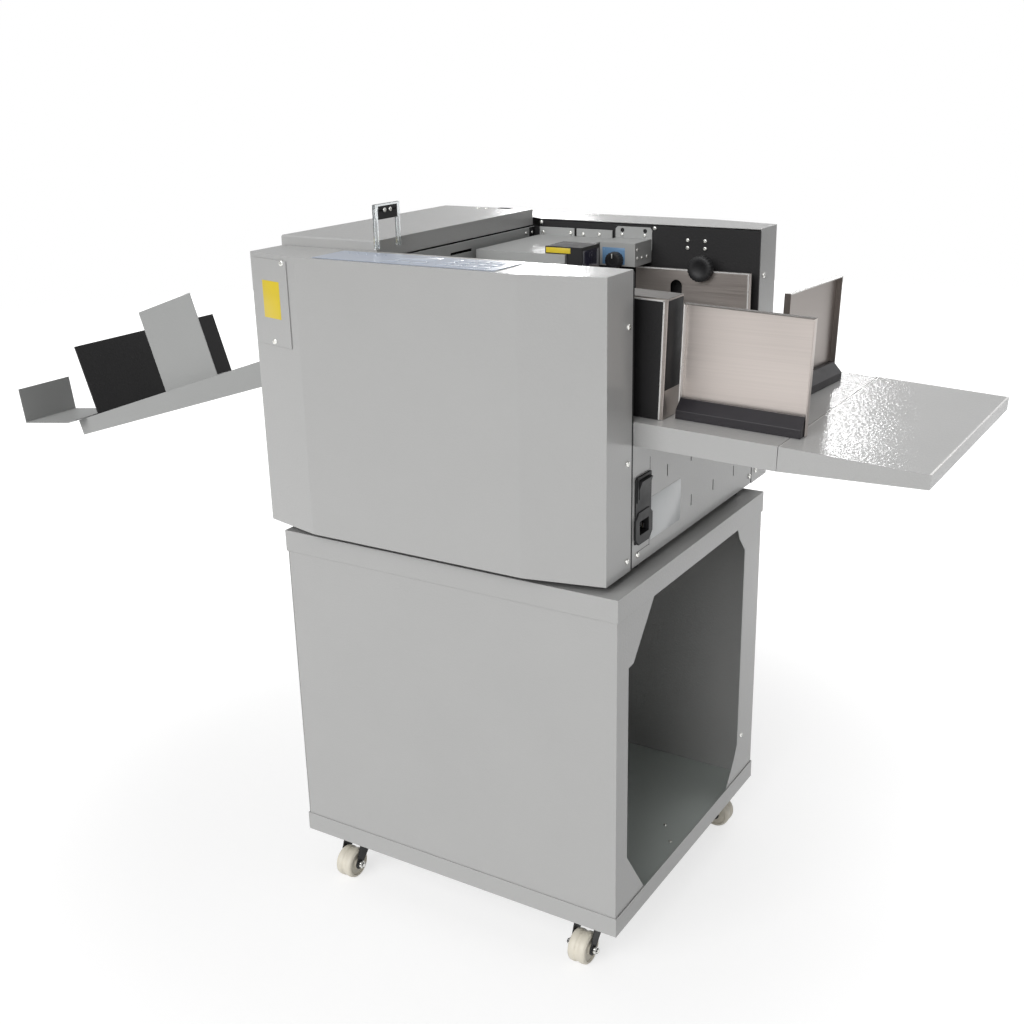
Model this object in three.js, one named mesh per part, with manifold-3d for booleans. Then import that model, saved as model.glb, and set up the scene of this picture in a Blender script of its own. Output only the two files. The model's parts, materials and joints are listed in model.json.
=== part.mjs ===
// Automatic paper creasing machine on a wheeled cabinet, in millimetres, +Z up.
// The operator stands at -Y. Sheets leave the feed table at +X, are creased under the
// lid and drop onto the delivery tray at -X. X and Y start at the cabinet's front left
// corner and Z at the floor, until the last lines move the origin under the middle.
import * as THREE from 'three';
import { mergeVertices } from 'three/addons/utils/BufferGeometryUtils.js';
import Module from 'manifold-3d';

const wasm = await Module();
wasm.setup();

// Common sizes
const sheet = 1.5;
const seat = 0.3;
const running = 0.4;
const overrun = 2;
const roundSides = 20;
const smallSides = 12;
const wheelSides = 18;

// Cabinet
const cabinetWidth = 575;
const cabinetDepth = 520;
const cabinetHeight = 531;
const topBand = 34;
const baseBand = 31;
const frontPost = 37;
const rearPost = 68;
const leftFlange = 20;
const gussetReach = 79;
const gussetDrop = 79;
const gussetNose = 15;
const lowGussetReach = 57;
const lowGussetDrop = 83;
const rearGussetReach = 34;
const rearGussetDrop = 46;
const rearGussetNose = 10;
const rearGussetLip = 20;
const rearLowReach = 40;
const rearLowDrop = 64;
const rearLowNose = 12;
const rearLowLip = 40;

// Castors
const castorHeight = 80;
const hexSides = 6;
const castorInsetX = 67;
const castorInsetY = 50;
const castorTrail = 27;
const castorPlate = 62;
const castorPlateThickness = 3;
const racewayRadius = 20;
const racewayHeight = 7;
const wheelRadius = 25;
const wheelWidth = 30;
const wheelEdge = 3;
const wheelGroove = 4;
const wheelGrooveDepth = 1.5;
const wheelHubRadius = 9;
const wheelDish = 2.5;
const wheelRim = 5;
const axleRadius = 4;
const forkThickness = 2;
const forkClearance = 1;
const forkCrownHalf = 16;
const forkCrownHeight = 10;
const forkBoss = 9;
const nutRadius = 6.5;
const nutHeight = 5;
const axleStub = 3;

// Machine envelope
const machineLeft = -31;
const machineRight = 552.8;
const footHeight = 12;
const footRadius = 15;
const footInset = 50;
const footEdge = 35;
const coverHeight = 410;
const frameFront = 81;
const framePlate = 3;
const frameSpan = 432;
const coverGap = 0.5;
const frontFoldLeft = 103;
const frontFoldRight = 116.8;
const frontCornerY = 9;
const frontFaceY = -16;
const rearCornerDepth = 65.5;
const rearFaceDepth = 89.5;
const frameTopMargin = 3;
const lidFrameDrop = 10;
const panFlange = 20;

// Electrical end
const endPanelTopGap = 0.4;
const ventLength = 17;
const ventHeight = 3;
const ventPitch = 81;
const ventCount = 4;
const ventLowRise = 42;
const ventHighRise = 112;
const ventFirst = 194;
const ventStagger = 85;
const inletWidth = 52;
const inletHeight = 47;
const inletSide = 4.5;
const inletRise = 30;
const inletDepth = 30;
const inletProud = 3;
const inletCorner = 10;
const entryMargin = 2;
const socketWidth = 28;
const socketHeight = 20;
const socketDepth = 18;
const pinWidth = 2;
const pinHeight = 6;
const pinLength = 14;
const pinPitch = 7;
const switchWidth = 42;
const switchHeight = 36;
const switchRise = 92;
const switchBezel = 4;
const rockerProud = 6;
const rockerValley = 3.5;
const rockerBack = 2;
const rockerTilt = 8;
const rockerAxle = 1.5;

// Lid over the creasing head
const lidLeft = -34;
const lidRight = 143.6;
const lidFront = 82.3;
const lidRearLap = 2;
const lidNotchGap = 8;
const lidRise = 14.4;
const lidDepth = 25.7;
const lidBend = 2;
const hingeRise = 4;
const hingeWidth = 28;
const hingeInset = 38.6;
const hingeKnuckle = 3.6;
const hingePin = 1.5;
const hingeEar = 3;
const hingeArm = 4;
const handlePlate = 5;
const handleFront = 76;
const handleLength = 59;
const handleTop = 51;
const handleFoot = 11;
const handleBar = 7;
const handleBlockHeight = 14;
const handleBlockInset = 0.3;
const handleBlockThickness = 6;

// Creasing head
const headX = 60;
const bedRise = 247;
const bedSheet = 1.5;
const bedEnd = 140;
const anvilWidth = 40;
const anvilDepth = 30;
const anvilGroove = 3;
const anvilGrooveDepth = 2;
const anvilShoulder = 16;
const bladeThickness = 1.5;
const bladeDepth = 14;
const bladeLift = 3.6;
const beamWidth = 30;
const beamHeight = 40;
const beamEndGap = 16;
const tongueWidth = 16;
const tongueLength = 12;
const cheekWidth = 8;
const cheekLength = 14;
const cheekHeight = 56;
const camRadius = 16;
const camThrow = 2;
const camWidth = 11;
const camClearance = 0.75;
const camShaftRadius = 8;
const camAboveBeam = 32.4;
const yokeWall = 5;
const yokeThickness = 12;
const yokeSpan = 200;
const camShaftOverhang = 8;

// Gear pair that turns the cam shaft
const gearModule = 2;
const gearTeeth = 36;
const pinionTeeth = 12;
const gearWidth = 12;
const pressureAngle = 20;
const gearBacklash = 0.3;
const rootClearance = 0.6;
const gearStandOff = 8;
const flankSteps = 2;
const gearHubRadius = 13;
const gearWindowCount = 5;
const gearWindowRadius = 7;
const gearWindowCircle = 22;
const pinionShaftRadius = 4;
const creaseMotorRadius = 28;
const creaseMotorLength = 78;
const motorFlange = 4;
const motorBoss = 11;

// Transport rollers and their belt
const rollerRadius = 12;
const rollerShaftRadius = 5;
const rollerNip = 0.5;
const rollerProud = 0.3;
const infeedX = 118;
const outfeedX = -6;
const sleeveCount = 4;
const sleeveWidth = 44;
const sleevePitch = 88;
const windowMargin = 2.2;
const shaftOverhang = 4;
const pulleyRadius = 16;
const pulleyWidth = 14;
const pulleyFlange = 3;
const pulleyFlangeThickness = 1.5;
const pulleyStandOff = 9;
const motorPulleyRadius = 12;
const beltThickness = 2;
const feedMotorX = 60;
const feedMotorRise = 92;
const feedMotorSide = 57;
const feedMotorLength = 76;
const feedMotorCorner = 5;

// Slot in the wall beside the feed head
const wallSlotDrop = 13;
const wallSlotFront = 262;
const wallSlotLength = 59;
const wallSlotHeight = 4;

// Feed head, suction rotor and blower
const feedHeadLeft = 160;
const feedHeadInset = 232.8;
const feedHeadDrop = 26;
const headStepY = 315;
const headStepDrop = 20;
const feedHeadNotch = 22;
const feedHeadNotchY = 400;
const feedHeadRearGap = 1.7;
const gateGap = 6;
const gateDrop = 41;
const gateRearGap = 22;
const headSideDrop = 47;
const earThickness = 1.5;
const earWidth = 67;
const earGap = 4;
const earRise = 13;
const rotorInset = 167.8;
const rotorRadius = 35;
const rotorProud = 0.5;
const rotorBandCount = 4;
const rotorGroove = 8;
const rotorGrooveDepth = 3;
const rotorShaftRadius = 8;
const rotorWindow = 14;
const rotorFrontMargin = 99.4;
const rotorRearMargin = 39.7;
const blowerInset = 152.8;
const blowerY = 300;
const blowerRise = 81;
const blowerSteps = 12;
const blowerRadius = 68;
const blowerScroll = 14;
const blowerWidth = 52;
const blowerOutlet = 44;
const blowerMotorRadius = 32;
const blowerMotorLength = 46;
const blowerFootHeight = 8;
const displayOverhang = 27;
const displayLength = 64;
const displayFront = 320;
const displayDepth = 56;
const displayHeight = 11;
const displayDrop = 44;
const controlInset = 247.8;
const controlLength = 63;
const controlDepth = 60;
const controlDrop = 24;
const controlHeight = 37;
const controlTabLap = 2;
const controlTabLength = 66;
const controlTabRise = 18;
const controlTabCorner = 4;
const keyholeRise = 12;
const keyholePitch = 41;
const keyholeRadius = 3.5;
const knobAlong = 30;
const knobDrop = 27;
const knobRadius = 13.5;
const knobLength = 15;
const knobFlutes = 8;
const knobStem = 3;
const knobStemLength = 8;
const knobStandOff = 1.2;

// Feed table and its extension
const tableFront = 85.6;
const tableWidth = 419.1;
const tableRise = 208.4;
const tableSlope = 1.9;
const tableInside = 250;
const tableLength = 199.9;
const tableSkirt = 33;
const extensionSlope = 0.95;
const extensionLength = 189.5;
const extensionGap = 1;
const extensionEndSkirt = 19;

// Guides on the feed table
const magnetLength = 174;
const magnetDepth = 20.5;
const magnetHeight = 26;
const magnetFace = 12;
const magnetBevel = 14;
const guideHeight = 153;
const guideFlange = 9.5;
const sideGuideMiddle = 126.2;
const sideGuideBack = 65.7;
const tailStopX = 130;
const tailStopY = 285;
const tailStopYaw = 4.5;
const innerGuideRight = 29;
const innerGuideLength = 188;
const innerGuideFront = 26.4;
const innerGuideDepth = 48;
const innerGuideHeight = 162;
const innerFaceRight = 6;
const innerFaceTop = 4;
const rearGuideLeftInset = 202.8;
const rearGuideRightInset = 6.8;
const rearGuideInset = 9.7;
const rearGuideFlange = 8;
const rearGuideHeight = 135.6;
const rearSlotAlong = 62;
const rearSlotWidth = 20;
const rearSlotDrop = 17;
const clampAlong = 116;
const clampRise = 4;
const clampRadius = 20.5;
const clampLength = 13;
const clampStud = 4;
const clampStudDepth = 9;
const clampBoss = 8;
const clampTravel = 5;
const clampFlutes = 12;
const clampFluteDepth = 1.2;
const fluteSides = 8;

// Delivery tray and its stops
const trayFront = 84;
const trayRise = 249;
const trayWidth = 352;
const trayLength = 541.7;
const traySlope = 18.8;
const traySkirt = 41;
const trayEndSkirt = 27;
const traySlotY = 8;
const traySlotWidth = 5;
const traySlotInner = 146;
const traySlotInnerLength = 115;
const traySlotOuter = 306;
const traySlotOuterLength = 188;
const trayStopAt = 494;
const trayStopFront = 8;
const trayStopWidth = 340;
const trayStopHeight = 123;
const trayStopFoot = 18;
const sideFlapInner = 200;
const sideFlapLength = 131;
const sideFlapY = 26;
const sideFlapHeight = 140;
const sideFlapFoot = 22;
const endStopFront = -24;
const endStopWidth = 113;
const endStopLap = 22;
const endStopFoot = 115;
const endStopHeight = 62;
const endStopFootRise = 11.8;
const endStopLean = 8;

// Panels on the front cover
const accessLeft = 9;
const accessWidth = 80;
const accessTopGap = 7;
const accessHeight = 125;
const controlPanelLeft = 100;
const controlPanelLength = 300;
const controlPanelInset = 6;
const controlPanelDepth = 72;
const controlPanelThickness = 0.8;

// Places that several pieces share
const cabinetTop = castorHeight + cabinetHeight;
const panBottom = cabinetTop + footHeight;
const coverTop = panBottom + coverHeight;
const frameRear = frameFront + framePlate + frameSpan;
const insideFront = frameFront + framePlate + seat;
const insideRear = frameRear - seat;
const bandInset = sheet + seat;
const lidTop = coverTop + lidRise;
const lidBottom = lidTop - lidDepth;
const lowFrameTop = coverTop - lidFrameDrop - frameTopMargin;
const frameTop = coverTop - frameTopMargin;
const lidRear = frameRear + lidRearLap;
const hingeY = lidRear + running + hingeKnuckle;
const hingeZ = coverTop + hingeRise;
const midY = frameFront + (frameRear + framePlate - frameFront) / 2;
const bedHeight = panBottom + bedRise;
const beamBottom = bedHeight + bladeLift + bladeDepth;
const beamTop = beamBottom + beamHeight;
const camShaftHeight = beamTop + camAboveBeam;
const feedMotorZ = panBottom + feedMotorRise;
const blowerZ = panBottom + blowerRise;
const feedHeadTop = coverTop - feedHeadDrop;
const gateTop = feedHeadTop - gateDrop;
const controlTop = coverTop - controlDrop;
const knobZ = controlTop - knobDrop;
const tableTop = panBottom + tableRise;
const rearGuideFront = tableFront + tableWidth - rearGuideInset;
const rearGuideTop = tableTop + rearGuideHeight;
const rearSlotTop = rearGuideTop - rearSlotDrop;
const clampZ = rearGuideTop + clampRise;
const trayTop = panBottom + trayRise;
const feedHeadRight = machineRight - feedHeadInset;
const feedHeadNotchX = feedHeadRight - feedHeadNotch;
const displayRight = feedHeadRight + displayOverhang;
const displayLeft = displayRight - displayLength;
const controlLeft = machineRight - controlInset;
const controlTabLeft = controlLeft - controlTabLap;
const knobX = controlLeft + knobAlong;
const rearGuideLeft = machineRight - rearGuideLeftInset;
const rearGuideRight = machineRight - rearGuideRightInset;
const rearSlotLeft = rearGuideLeft + rearSlotAlong;
const clampX = rearGuideLeft + clampAlong;
const rotorX = machineRight - rotorInset;
const blowerX = machineRight - blowerInset;
const rotorFrontY = tableFront + rotorFrontMargin;
const rotorGrooves = rotorGroove * (rotorBandCount - 1);
const rotorLength = tableWidth - rotorFrontMargin - rotorRearMargin;
const rotorBand = (rotorLength - rotorGrooves) / rotorBandCount;
const lowerRollerZ = bedHeight + rollerProud - rollerRadius;
const upperRollerZ = lowerRollerZ + rollerRadius + rollerNip + rollerRadius;
const gearDistance = gearModule * (gearTeeth + pinionTeeth) / 2;
const pinionX = headX + gearDistance;
const degree = Math.PI / 180;
const quarterTurn = 90;
const tableDrop = Math.tan(tableSlope * degree);

function tableAt(x) {
  return tableTop + (machineRight - x) * tableDrop;
}

// Colours and finishes
function finish(color, roughness, metalness) {
  return new THREE.MeshStandardMaterial({ color, roughness, metalness });
}

const paint = finish(0xadadab, 0.55, 0.15);
const panelGrey = finish(0xa3a5a3, 0.5, 0.2);
const blackPlate = finish(0x1e1c1f, 0.6, 0.2);
const blackPlastic = finish(0x18181a, 0.5, 0);
const stainless = finish(0xa59e9c, 0.3, 1);
const steel = finish(0x8d9094, 0.35, 1);
const aluminium = finish(0xb4b6b8, 0.4, 1);
const rubber = finish(0x2b2b2d, 0.85, 0);
const castorTread = finish(0xd9d2be, 0.5, 0);
const clear = finish(0xe8eef0, 0.08, 0);
const overlay = finish(0xb8c0cc, 0.25, 0);

// Closed geometry to solid and back
function toSolid(geometry) {
  const bare = geometry.clone();
  bare.deleteAttribute('normal');
  bare.deleteAttribute('uv');
  const joined = mergeVertices(bare);
  return new wasm.Manifold(new wasm.Mesh({
    numProp: 3,
    vertProperties: new Float32Array(joined.attributes.position.array),
    triVerts: new Uint32Array(joined.index.array),
  }));
}

function toGeometry(solid) {
  const mesh = solid.getMesh();
  const geometry = new THREE.BufferGeometry();
  geometry.setAttribute('position', new THREE.BufferAttribute(mesh.vertProperties, 3));
  geometry.setIndex(new THREE.BufferAttribute(mesh.triVerts, 1));
  geometry.computeVertexNormals();
  return geometry;
}

function join(first, ...others) {
  return others.reduce((whole, other) => whole.add(other), first);
}

function cut(first, ...others) {
  return others.reduce((whole, other) => whole.subtract(other), first);
}

// Boxes, prisms and rods along the three axes
function block(x0, x1, y0, y1, z0, z1) {
  const geometry = new THREE.BoxGeometry(x1 - x0, y1 - y0, z1 - z0);
  geometry.translate((x0 + x1) / 2, (y0 + y1) / 2, (z0 + z1) / 2);
  return toSolid(geometry);
}

function shapeOf(points) {
  return new THREE.Shape(points.map(([u, v]) => new THREE.Vector2(u, v)));
}

function extrude(shape, length) {
  return new THREE.ExtrudeGeometry(shape, { depth: length, bevelEnabled: false, curveSegments: 8 });
}

function prismZ(outline, z0, z1) {
  const shape = outline instanceof THREE.Shape ? outline : shapeOf(outline);
  const geometry = extrude(shape, z1 - z0);
  geometry.translate(0, 0, z0);
  return toSolid(geometry);
}

// The outline of prismX lies in Y and Z
function prismX(outline, x0, x1) {
  const shape = outline instanceof THREE.Shape ? outline : shapeOf(outline);
  const geometry = extrude(shape, x1 - x0);
  geometry.rotateX(Math.PI / 2);
  geometry.rotateZ(Math.PI / 2);
  geometry.translate(x0, 0, 0);
  return toSolid(geometry);
}

// The outline of prismY lies in X and Z
function prismY(outline, y0, y1) {
  const shape = outline instanceof THREE.Shape ? outline : shapeOf(outline);
  const geometry = extrude(shape, y1 - y0);
  geometry.rotateX(Math.PI / 2);
  geometry.translate(0, y1, 0);
  return toSolid(geometry);
}

function rodZ(x, y, radius, z0, z1, sides = roundSides) {
  const geometry = new THREE.CylinderGeometry(radius, radius, z1 - z0, sides);
  geometry.rotateX(Math.PI / 2);
  geometry.translate(x, y, (z0 + z1) / 2);
  return toSolid(geometry);
}

function rodY(x, z, radius, y0, y1, sides = roundSides) {
  const geometry = new THREE.CylinderGeometry(radius, radius, y1 - y0, sides);
  geometry.translate(x, (y0 + y1) / 2, z);
  return toSolid(geometry);
}

function rodX(y, z, radius, x0, x1, sides = roundSides) {
  const geometry = new THREE.CylinderGeometry(radius, radius, x1 - x0, sides);
  geometry.rotateZ(Math.PI / 2);
  geometry.translate((x0 + x1) / 2, y, z);
  return toSolid(geometry);
}

// A piece turned about the Y axis from [radius, y] points that close on themselves
function turnedY(profile, sides = roundSides) {
  const points = [...profile, profile[0]].map(([r, y]) => new THREE.Vector2(r, y));
  return toSolid(new THREE.LatheGeometry(points, sides));
}

// An outline moved inwards by one distance, corner by corner, anticlockwise points
function inset(outline, distance) {
  return outline.map((point, i) => {
    const before = outline[(i + outline.length - 1) % outline.length];
    const after = outline[(i + 1) % outline.length];
    const a = new THREE.Vector2(point[0] - before[0], point[1] - before[1]).normalize();
    const b = new THREE.Vector2(after[0] - point[0], after[1] - point[1]).normalize();
    const normalA = new THREE.Vector2(-a.y, a.x);
    const normalB = new THREE.Vector2(-b.y, b.x);
    const middle = normalA.clone().add(normalB);
    const reach = 2 * distance / middle.lengthSq();
    return [point[0] + middle.x * reach, point[1] + middle.y * reach];
  });
}

// Scene helpers
const machine = new THREE.Group();

function groupAt(parent, x, y, z) {
  const group = new THREE.Group();
  group.position.set(x, y, z);
  parent.add(group);
  return group;
}

function place(name, solid, material, parent = machine) {
  const mesh = new THREE.Mesh(toGeometry(solid), material);
  mesh.name = name;
  parent.add(mesh);
  return mesh;
}

// Cabinet of folded sheet: tray, four walls' worth of panels with an open right end
function cabinet() {
  const wallBottom = castorHeight + bandInset;
  const wallTop = cabinetTop - bandInset;
  const bandBottom = cabinetTop - topBand;
  const trayEdge = castorHeight + baseBand;
  const left = bandInset;
  const right = cabinetWidth - bandInset;
  const front = bandInset;
  const rear = cabinetDepth - bandInset;
  const panelLeft = left + sheet + seat;

  const top = cut(
    block(0, cabinetWidth, 0, cabinetDepth, bandBottom, cabinetTop),
    block(sheet, cabinetWidth - sheet, sheet, cabinetDepth - sheet, bandBottom - overrun, cabinetTop - sheet),
  );
  place('cabinet_top', top, paint);

  let base = cut(
    block(0, cabinetWidth, 0, cabinetDepth, castorHeight, trayEdge),
    block(sheet, cabinetWidth - sheet, sheet, cabinetDepth - sheet, castorHeight + sheet, trayEdge + overrun),
  );
  for (const x of [castorInsetX, cabinetWidth - castorInsetX]) {
    for (const y of [castorInsetY, cabinetDepth - castorInsetY]) {
      const half = castorPlate / 2;
      const plateBottom = castorHeight - castorPlateThickness;
      base = join(
        base,
        block(x - half, x + half, y - half, y + half, plateBottom, castorHeight + sheet / 2),
        rodZ(x, y, racewayRadius, plateBottom - racewayHeight, castorHeight),
      );
    }
  }
  place('cabinet_base', base, paint);

  const frontEdge = frontPost;
  const frontPostOutline = [
    [front, wallBottom],
    [frontEdge + lowGussetReach, wallBottom],
    [frontEdge + lowGussetReach, trayEdge],
    [frontEdge, trayEdge + lowGussetDrop],
    [frontEdge, bandBottom - gussetDrop - sheet],
    [frontEdge + gussetNose, bandBottom - gussetDrop],
    [frontEdge + gussetReach, bandBottom],
    [frontEdge + gussetReach, wallTop],
    [front, wallTop],
  ];
  const frontPanel = join(
    block(panelLeft, right, front, front + sheet, wallBottom, wallTop),
    block(panelLeft, panelLeft + sheet, front, front + leftFlange, wallBottom, wallTop),
    prismX(frontPostOutline, right - sheet, right),
  );
  place('cabinet_front_panel', frontPanel, paint);

  const rearEdge = cabinetDepth - rearPost;
  const rearPostOutline = [
    [rear, wallBottom],
    [rear, wallTop],
    [rearEdge - rearGussetReach, wallTop],
    [rearEdge - rearGussetReach, bandBottom],
    [rearEdge - rearGussetReach + rearGussetNose, bandBottom - rearGussetLip],
    [rearEdge, bandBottom - rearGussetDrop],
    [rearEdge, trayEdge + rearLowDrop],
    [rearEdge - rearLowNose, trayEdge + rearLowLip],
    [rearEdge - rearLowReach, trayEdge],
    [rearEdge - rearLowReach, wallBottom],
  ];
  const rearPanel = join(
    block(panelLeft, right, rear - sheet, rear, wallBottom, wallTop),
    block(panelLeft, panelLeft + sheet, rear - leftFlange, rear, wallBottom, wallTop),
    prismX(rearPostOutline, right - sheet, right),
  );
  place('cabinet_rear_panel', rearPanel, paint);
  place('cabinet_left_panel', block(left, left + sheet, front, rear, wallBottom, wallTop), paint);
}

// One castor: the fork swivels under its plate, and the wheel turns on the fork's bolt
function castor(tag, x, y, heading) {
  const group = groupAt(machine, x, y, 0);
  group.rotation.z = heading * degree;
  const crownTop = castorHeight - castorPlateThickness - racewayHeight - seat;
  const crownBottom = crownTop - forkThickness;
  const inner = wheelWidth / 2 + forkClearance;
  const outer = inner + forkThickness;
  const leg = new THREE.Shape();
  leg.moveTo(forkCrownHalf, crownTop);
  leg.lineTo(-forkCrownHalf - forkThickness, crownTop);
  leg.lineTo(-castorTrail - forkBoss, wheelRadius);
  leg.absarc(-castorTrail, wheelRadius, forkBoss, Math.PI, 2 * Math.PI, false);
  leg.lineTo(forkCrownHalf, crownTop - forkCrownHeight);
  const axleEnd = outer + axleStub + nutHeight;
  const fork = join(
    block(-outer, outer, -forkCrownHalf, forkCrownHalf, crownBottom, crownTop),
    prismX(leg, -outer, -inner),
    prismX(leg, inner, outer),
    rodX(-castorTrail, wheelRadius, axleRadius, -axleEnd, axleEnd, smallSides),
    rodX(-castorTrail, wheelRadius, nutRadius, -outer - nutHeight, -inner - forkThickness / 2, hexSides),
    rodX(-castorTrail, wheelRadius, nutRadius, inner + forkThickness / 2, outer + nutHeight, hexSides),
  );
  place(`castor_fork_${tag}`, fork, blackPlastic, group);

  const half = wheelWidth / 2;
  const bore = axleRadius + seat;
  const dishOuter = wheelRadius - wheelRim;
  const grooveFloor = wheelRadius - wheelGrooveDepth;
  const wheel = turnedY([
    [bore, -half],
    [wheelHubRadius, -half],
    [wheelHubRadius + wheelDish / 2, -half + wheelDish],
    [dishOuter - wheelDish / 2, -half + wheelDish],
    [dishOuter, -half],
    [wheelRadius - wheelEdge, -half],
    [wheelRadius, -half + wheelEdge],
    [wheelRadius, -wheelGroove / 2],
    [grooveFloor, 0],
    [wheelRadius, wheelGroove / 2],
    [wheelRadius, half - wheelEdge],
    [wheelRadius - wheelEdge, half],
    [dishOuter, half],
    [dishOuter - wheelDish / 2, half - wheelDish],
    [wheelHubRadius + wheelDish / 2, half - wheelDish],
    [wheelHubRadius, half],
    [bore, half],
  ], wheelSides);
  const mesh = place(`castor_wheel_${tag}`, wheel, castorTread, group);
  mesh.rotation.z = -Math.PI / 2;
  mesh.position.set(0, -castorTrail, wheelRadius);
}

function castors() {
  const farX = cabinetWidth - castorInsetX;
  const farY = cabinetDepth - castorInsetY;
  castor('front_left', castorInsetX, castorInsetY, 0);
  castor('front_right', farX, castorInsetY, 0);
  castor('rear_left', castorInsetX, farY, quarterTurn);
  castor('rear_right', farX, farY, quarterTurn);
}

// Pan with the left end wall and its paper exit, on four rubber feet
function basePan() {
  const rightEdge = machineRight - sheet - seat;
  const wallTop = lowFrameTop;
  const exitLow = bedHeight + windowMargin;
  const exitHigh = upperRollerZ + rollerRadius;
  const exitInset = 2 * panFlange;
  let pan = join(
    block(machineLeft, rightEdge, insideFront, insideRear, panBottom, panBottom + sheet),
    block(machineLeft, machineLeft + sheet, insideFront, insideRear, panBottom, wallTop),
    block(machineLeft, rightEdge, insideFront, insideFront + sheet, panBottom, panBottom + panFlange),
    block(machineLeft, rightEdge, insideRear - sheet, insideRear, panBottom, panBottom + panFlange),
    block(rightEdge - sheet, rightEdge, insideFront, insideRear, panBottom, panBottom + panFlange),
  );
  for (const x of [machineLeft + footInset, machineRight - footInset / 2]) {
    for (const y of [insideFront + footEdge, insideRear - footEdge]) {
      pan = join(pan, rodZ(x, y, footRadius, cabinetTop + seat, panBottom + sheet / 2));
    }
  }
  const exit = block(
    machineLeft - overrun,
    machineLeft + sheet + overrun,
    insideFront + exitInset,
    insideRear - exitInset,
    exitLow,
    exitHigh,
  );
  place('base_pan', cut(pan, exit), paint);
}

// Right end wall under the table, with vents and the openings of the power inlet
function rightEndPanel() {
  const left = machineRight - sheet;
  const top = tableAt(machineRight) - sheet - endPanelTopGap;
  let panel = block(left, machineRight, insideFront, insideRear, panBottom, top);
  const rows = [
    [ventFirst + ventStagger, ventLowRise, ventCount - 1],
    [ventFirst, ventHighRise, ventCount],
  ];
  for (const [first, rise, count] of rows) {
    for (let i = 0; i < count; i += 1) {
      const y = first + i * ventPitch;
      const z = panBottom + rise;
      const slot = block(
        left - overrun,
        machineRight + overrun,
        y - ventHeight / 2,
        y + ventHeight / 2,
        z - ventLength / 2,
        z + ventLength / 2,
      );
      panel = cut(panel, slot);
    }
  }
  const inletY = insideFront + inletSide;
  const inletZ = panBottom + inletRise;
  const switchZ = panBottom + switchRise;
  const margin = entryMargin;
  panel = cut(
    panel,
    block(
      left - overrun,
      machineRight + overrun,
      inletY + margin,
      inletY + inletWidth - margin,
      inletZ + margin,
      switchZ + switchHeight - margin,
    ),
  );
  place('right_end_panel', panel, paint);
}

// Power inlet and switch housing in one moulded block, and the rocker on its own axle
function powerEntry() {
  const face = machineRight + seat;
  const inletY = insideFront + inletSide;
  const inletZ = panBottom + inletRise;
  const switchZ = panBottom + switchRise;
  const margin = entryMargin + seat;
  const front = face + inletProud;
  const midInletY = inletY + inletWidth / 2;
  const midInletZ = inletZ + inletHeight / 2;
  const flangeOutline = [
    [inletY, inletZ + inletCorner],
    [inletY + inletCorner, inletZ],
    [inletY + inletWidth - inletCorner, inletZ],
    [inletY + inletWidth, inletZ + inletCorner],
    [inletY + inletWidth, inletZ + inletHeight - inletCorner],
    [inletY + inletWidth - inletCorner, inletZ + inletHeight],
    [inletY + inletCorner, inletZ + inletHeight],
    [inletY, inletZ + inletHeight - inletCorner],
  ];
  const switchY = midInletY - switchWidth / 2;
  const rockerWidth = switchWidth - 2 * switchBezel;
  const rockerHeight = switchHeight - 2 * switchBezel;
  const rockerZ = switchZ + switchHeight / 2;
  const wellBack = face - 2 * rockerProud;
  let body = join(
    prismX(flangeOutline, face, front),
    block(face, front, switchY, switchY + switchWidth, switchZ, switchZ + switchHeight),
    block(
      face - inletDepth,
      face + inletProud / 2,
      inletY + margin,
      inletY + inletWidth - margin,
      inletZ + margin,
      switchZ + switchHeight - margin,
    ),
  );
  body = cut(
    body,
    block(
      front - socketDepth,
      front + overrun,
      midInletY - socketWidth / 2,
      midInletY + socketWidth / 2,
      midInletZ - socketHeight / 2,
      midInletZ + socketHeight / 2,
    ),
    block(
      wellBack,
      front + overrun,
      midInletY - rockerWidth / 2,
      midInletY + rockerWidth / 2,
      rockerZ - rockerHeight / 2,
      rockerZ + rockerHeight / 2,
    ),
  );
  for (const step of [-1, 0, 1]) {
    const y = midInletY + step * pinPitch;
    const z = midInletZ + (step === 0 ? pinWidth : -pinWidth);
    const back = front - socketDepth - overrun / 2;
    body = join(
      body,
      block(back, back + pinLength, y - pinWidth / 2, y + pinWidth / 2, z - pinHeight / 2, z + pinHeight / 2),
    );
  }
  const axleY0 = midInletY - rockerWidth / 2;
  body = join(body, rodY(face, rockerZ, rockerAxle, axleY0 - seat, axleY0 + rockerWidth + seat));
  place('power_inlet', body, blackPlastic);

  const half = rockerHeight / 2 - 2 * running;
  const rockerOutline = [
    [-rockerBack, -half],
    [rockerProud - running, -half],
    [rockerValley, 0],
    [rockerProud - running, half],
    [-rockerBack, half],
  ];
  const width = rockerWidth - 2 * running;
  const rocker = cut(
    prismY(rockerOutline, -width / 2, width / 2),
    rodY(0, 0, rockerAxle + seat, -width, width),
  );
  const mesh = place('power_switch', rocker, blackPlastic);
  mesh.position.set(face, midInletY, rockerZ);
  mesh.rotation.y = rockerTilt * degree;
}

// Frame plates that carry every shaft
function bores(plate, y0, y1) {
  const low = y0 - overrun;
  const high = y1 + overrun;
  const rotorZ = tableAt(rotorX) + rotorProud - rotorRadius;
  return cut(
    plate,
    rodY(headX, camShaftHeight, camShaftRadius + running, low, high, smallSides),
    rodY(infeedX, lowerRollerZ, rollerShaftRadius + running, low, high, smallSides),
    rodY(infeedX, upperRollerZ, rollerShaftRadius + running, low, high, smallSides),
    rodY(outfeedX, lowerRollerZ, rollerShaftRadius + running, low, high, smallSides),
    rodY(outfeedX, upperRollerZ, rollerShaftRadius + running, low, high, smallSides),
    rodY(rotorX, rotorZ, rotorShaftRadius + running, low, high, smallSides),
  );
}

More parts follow.
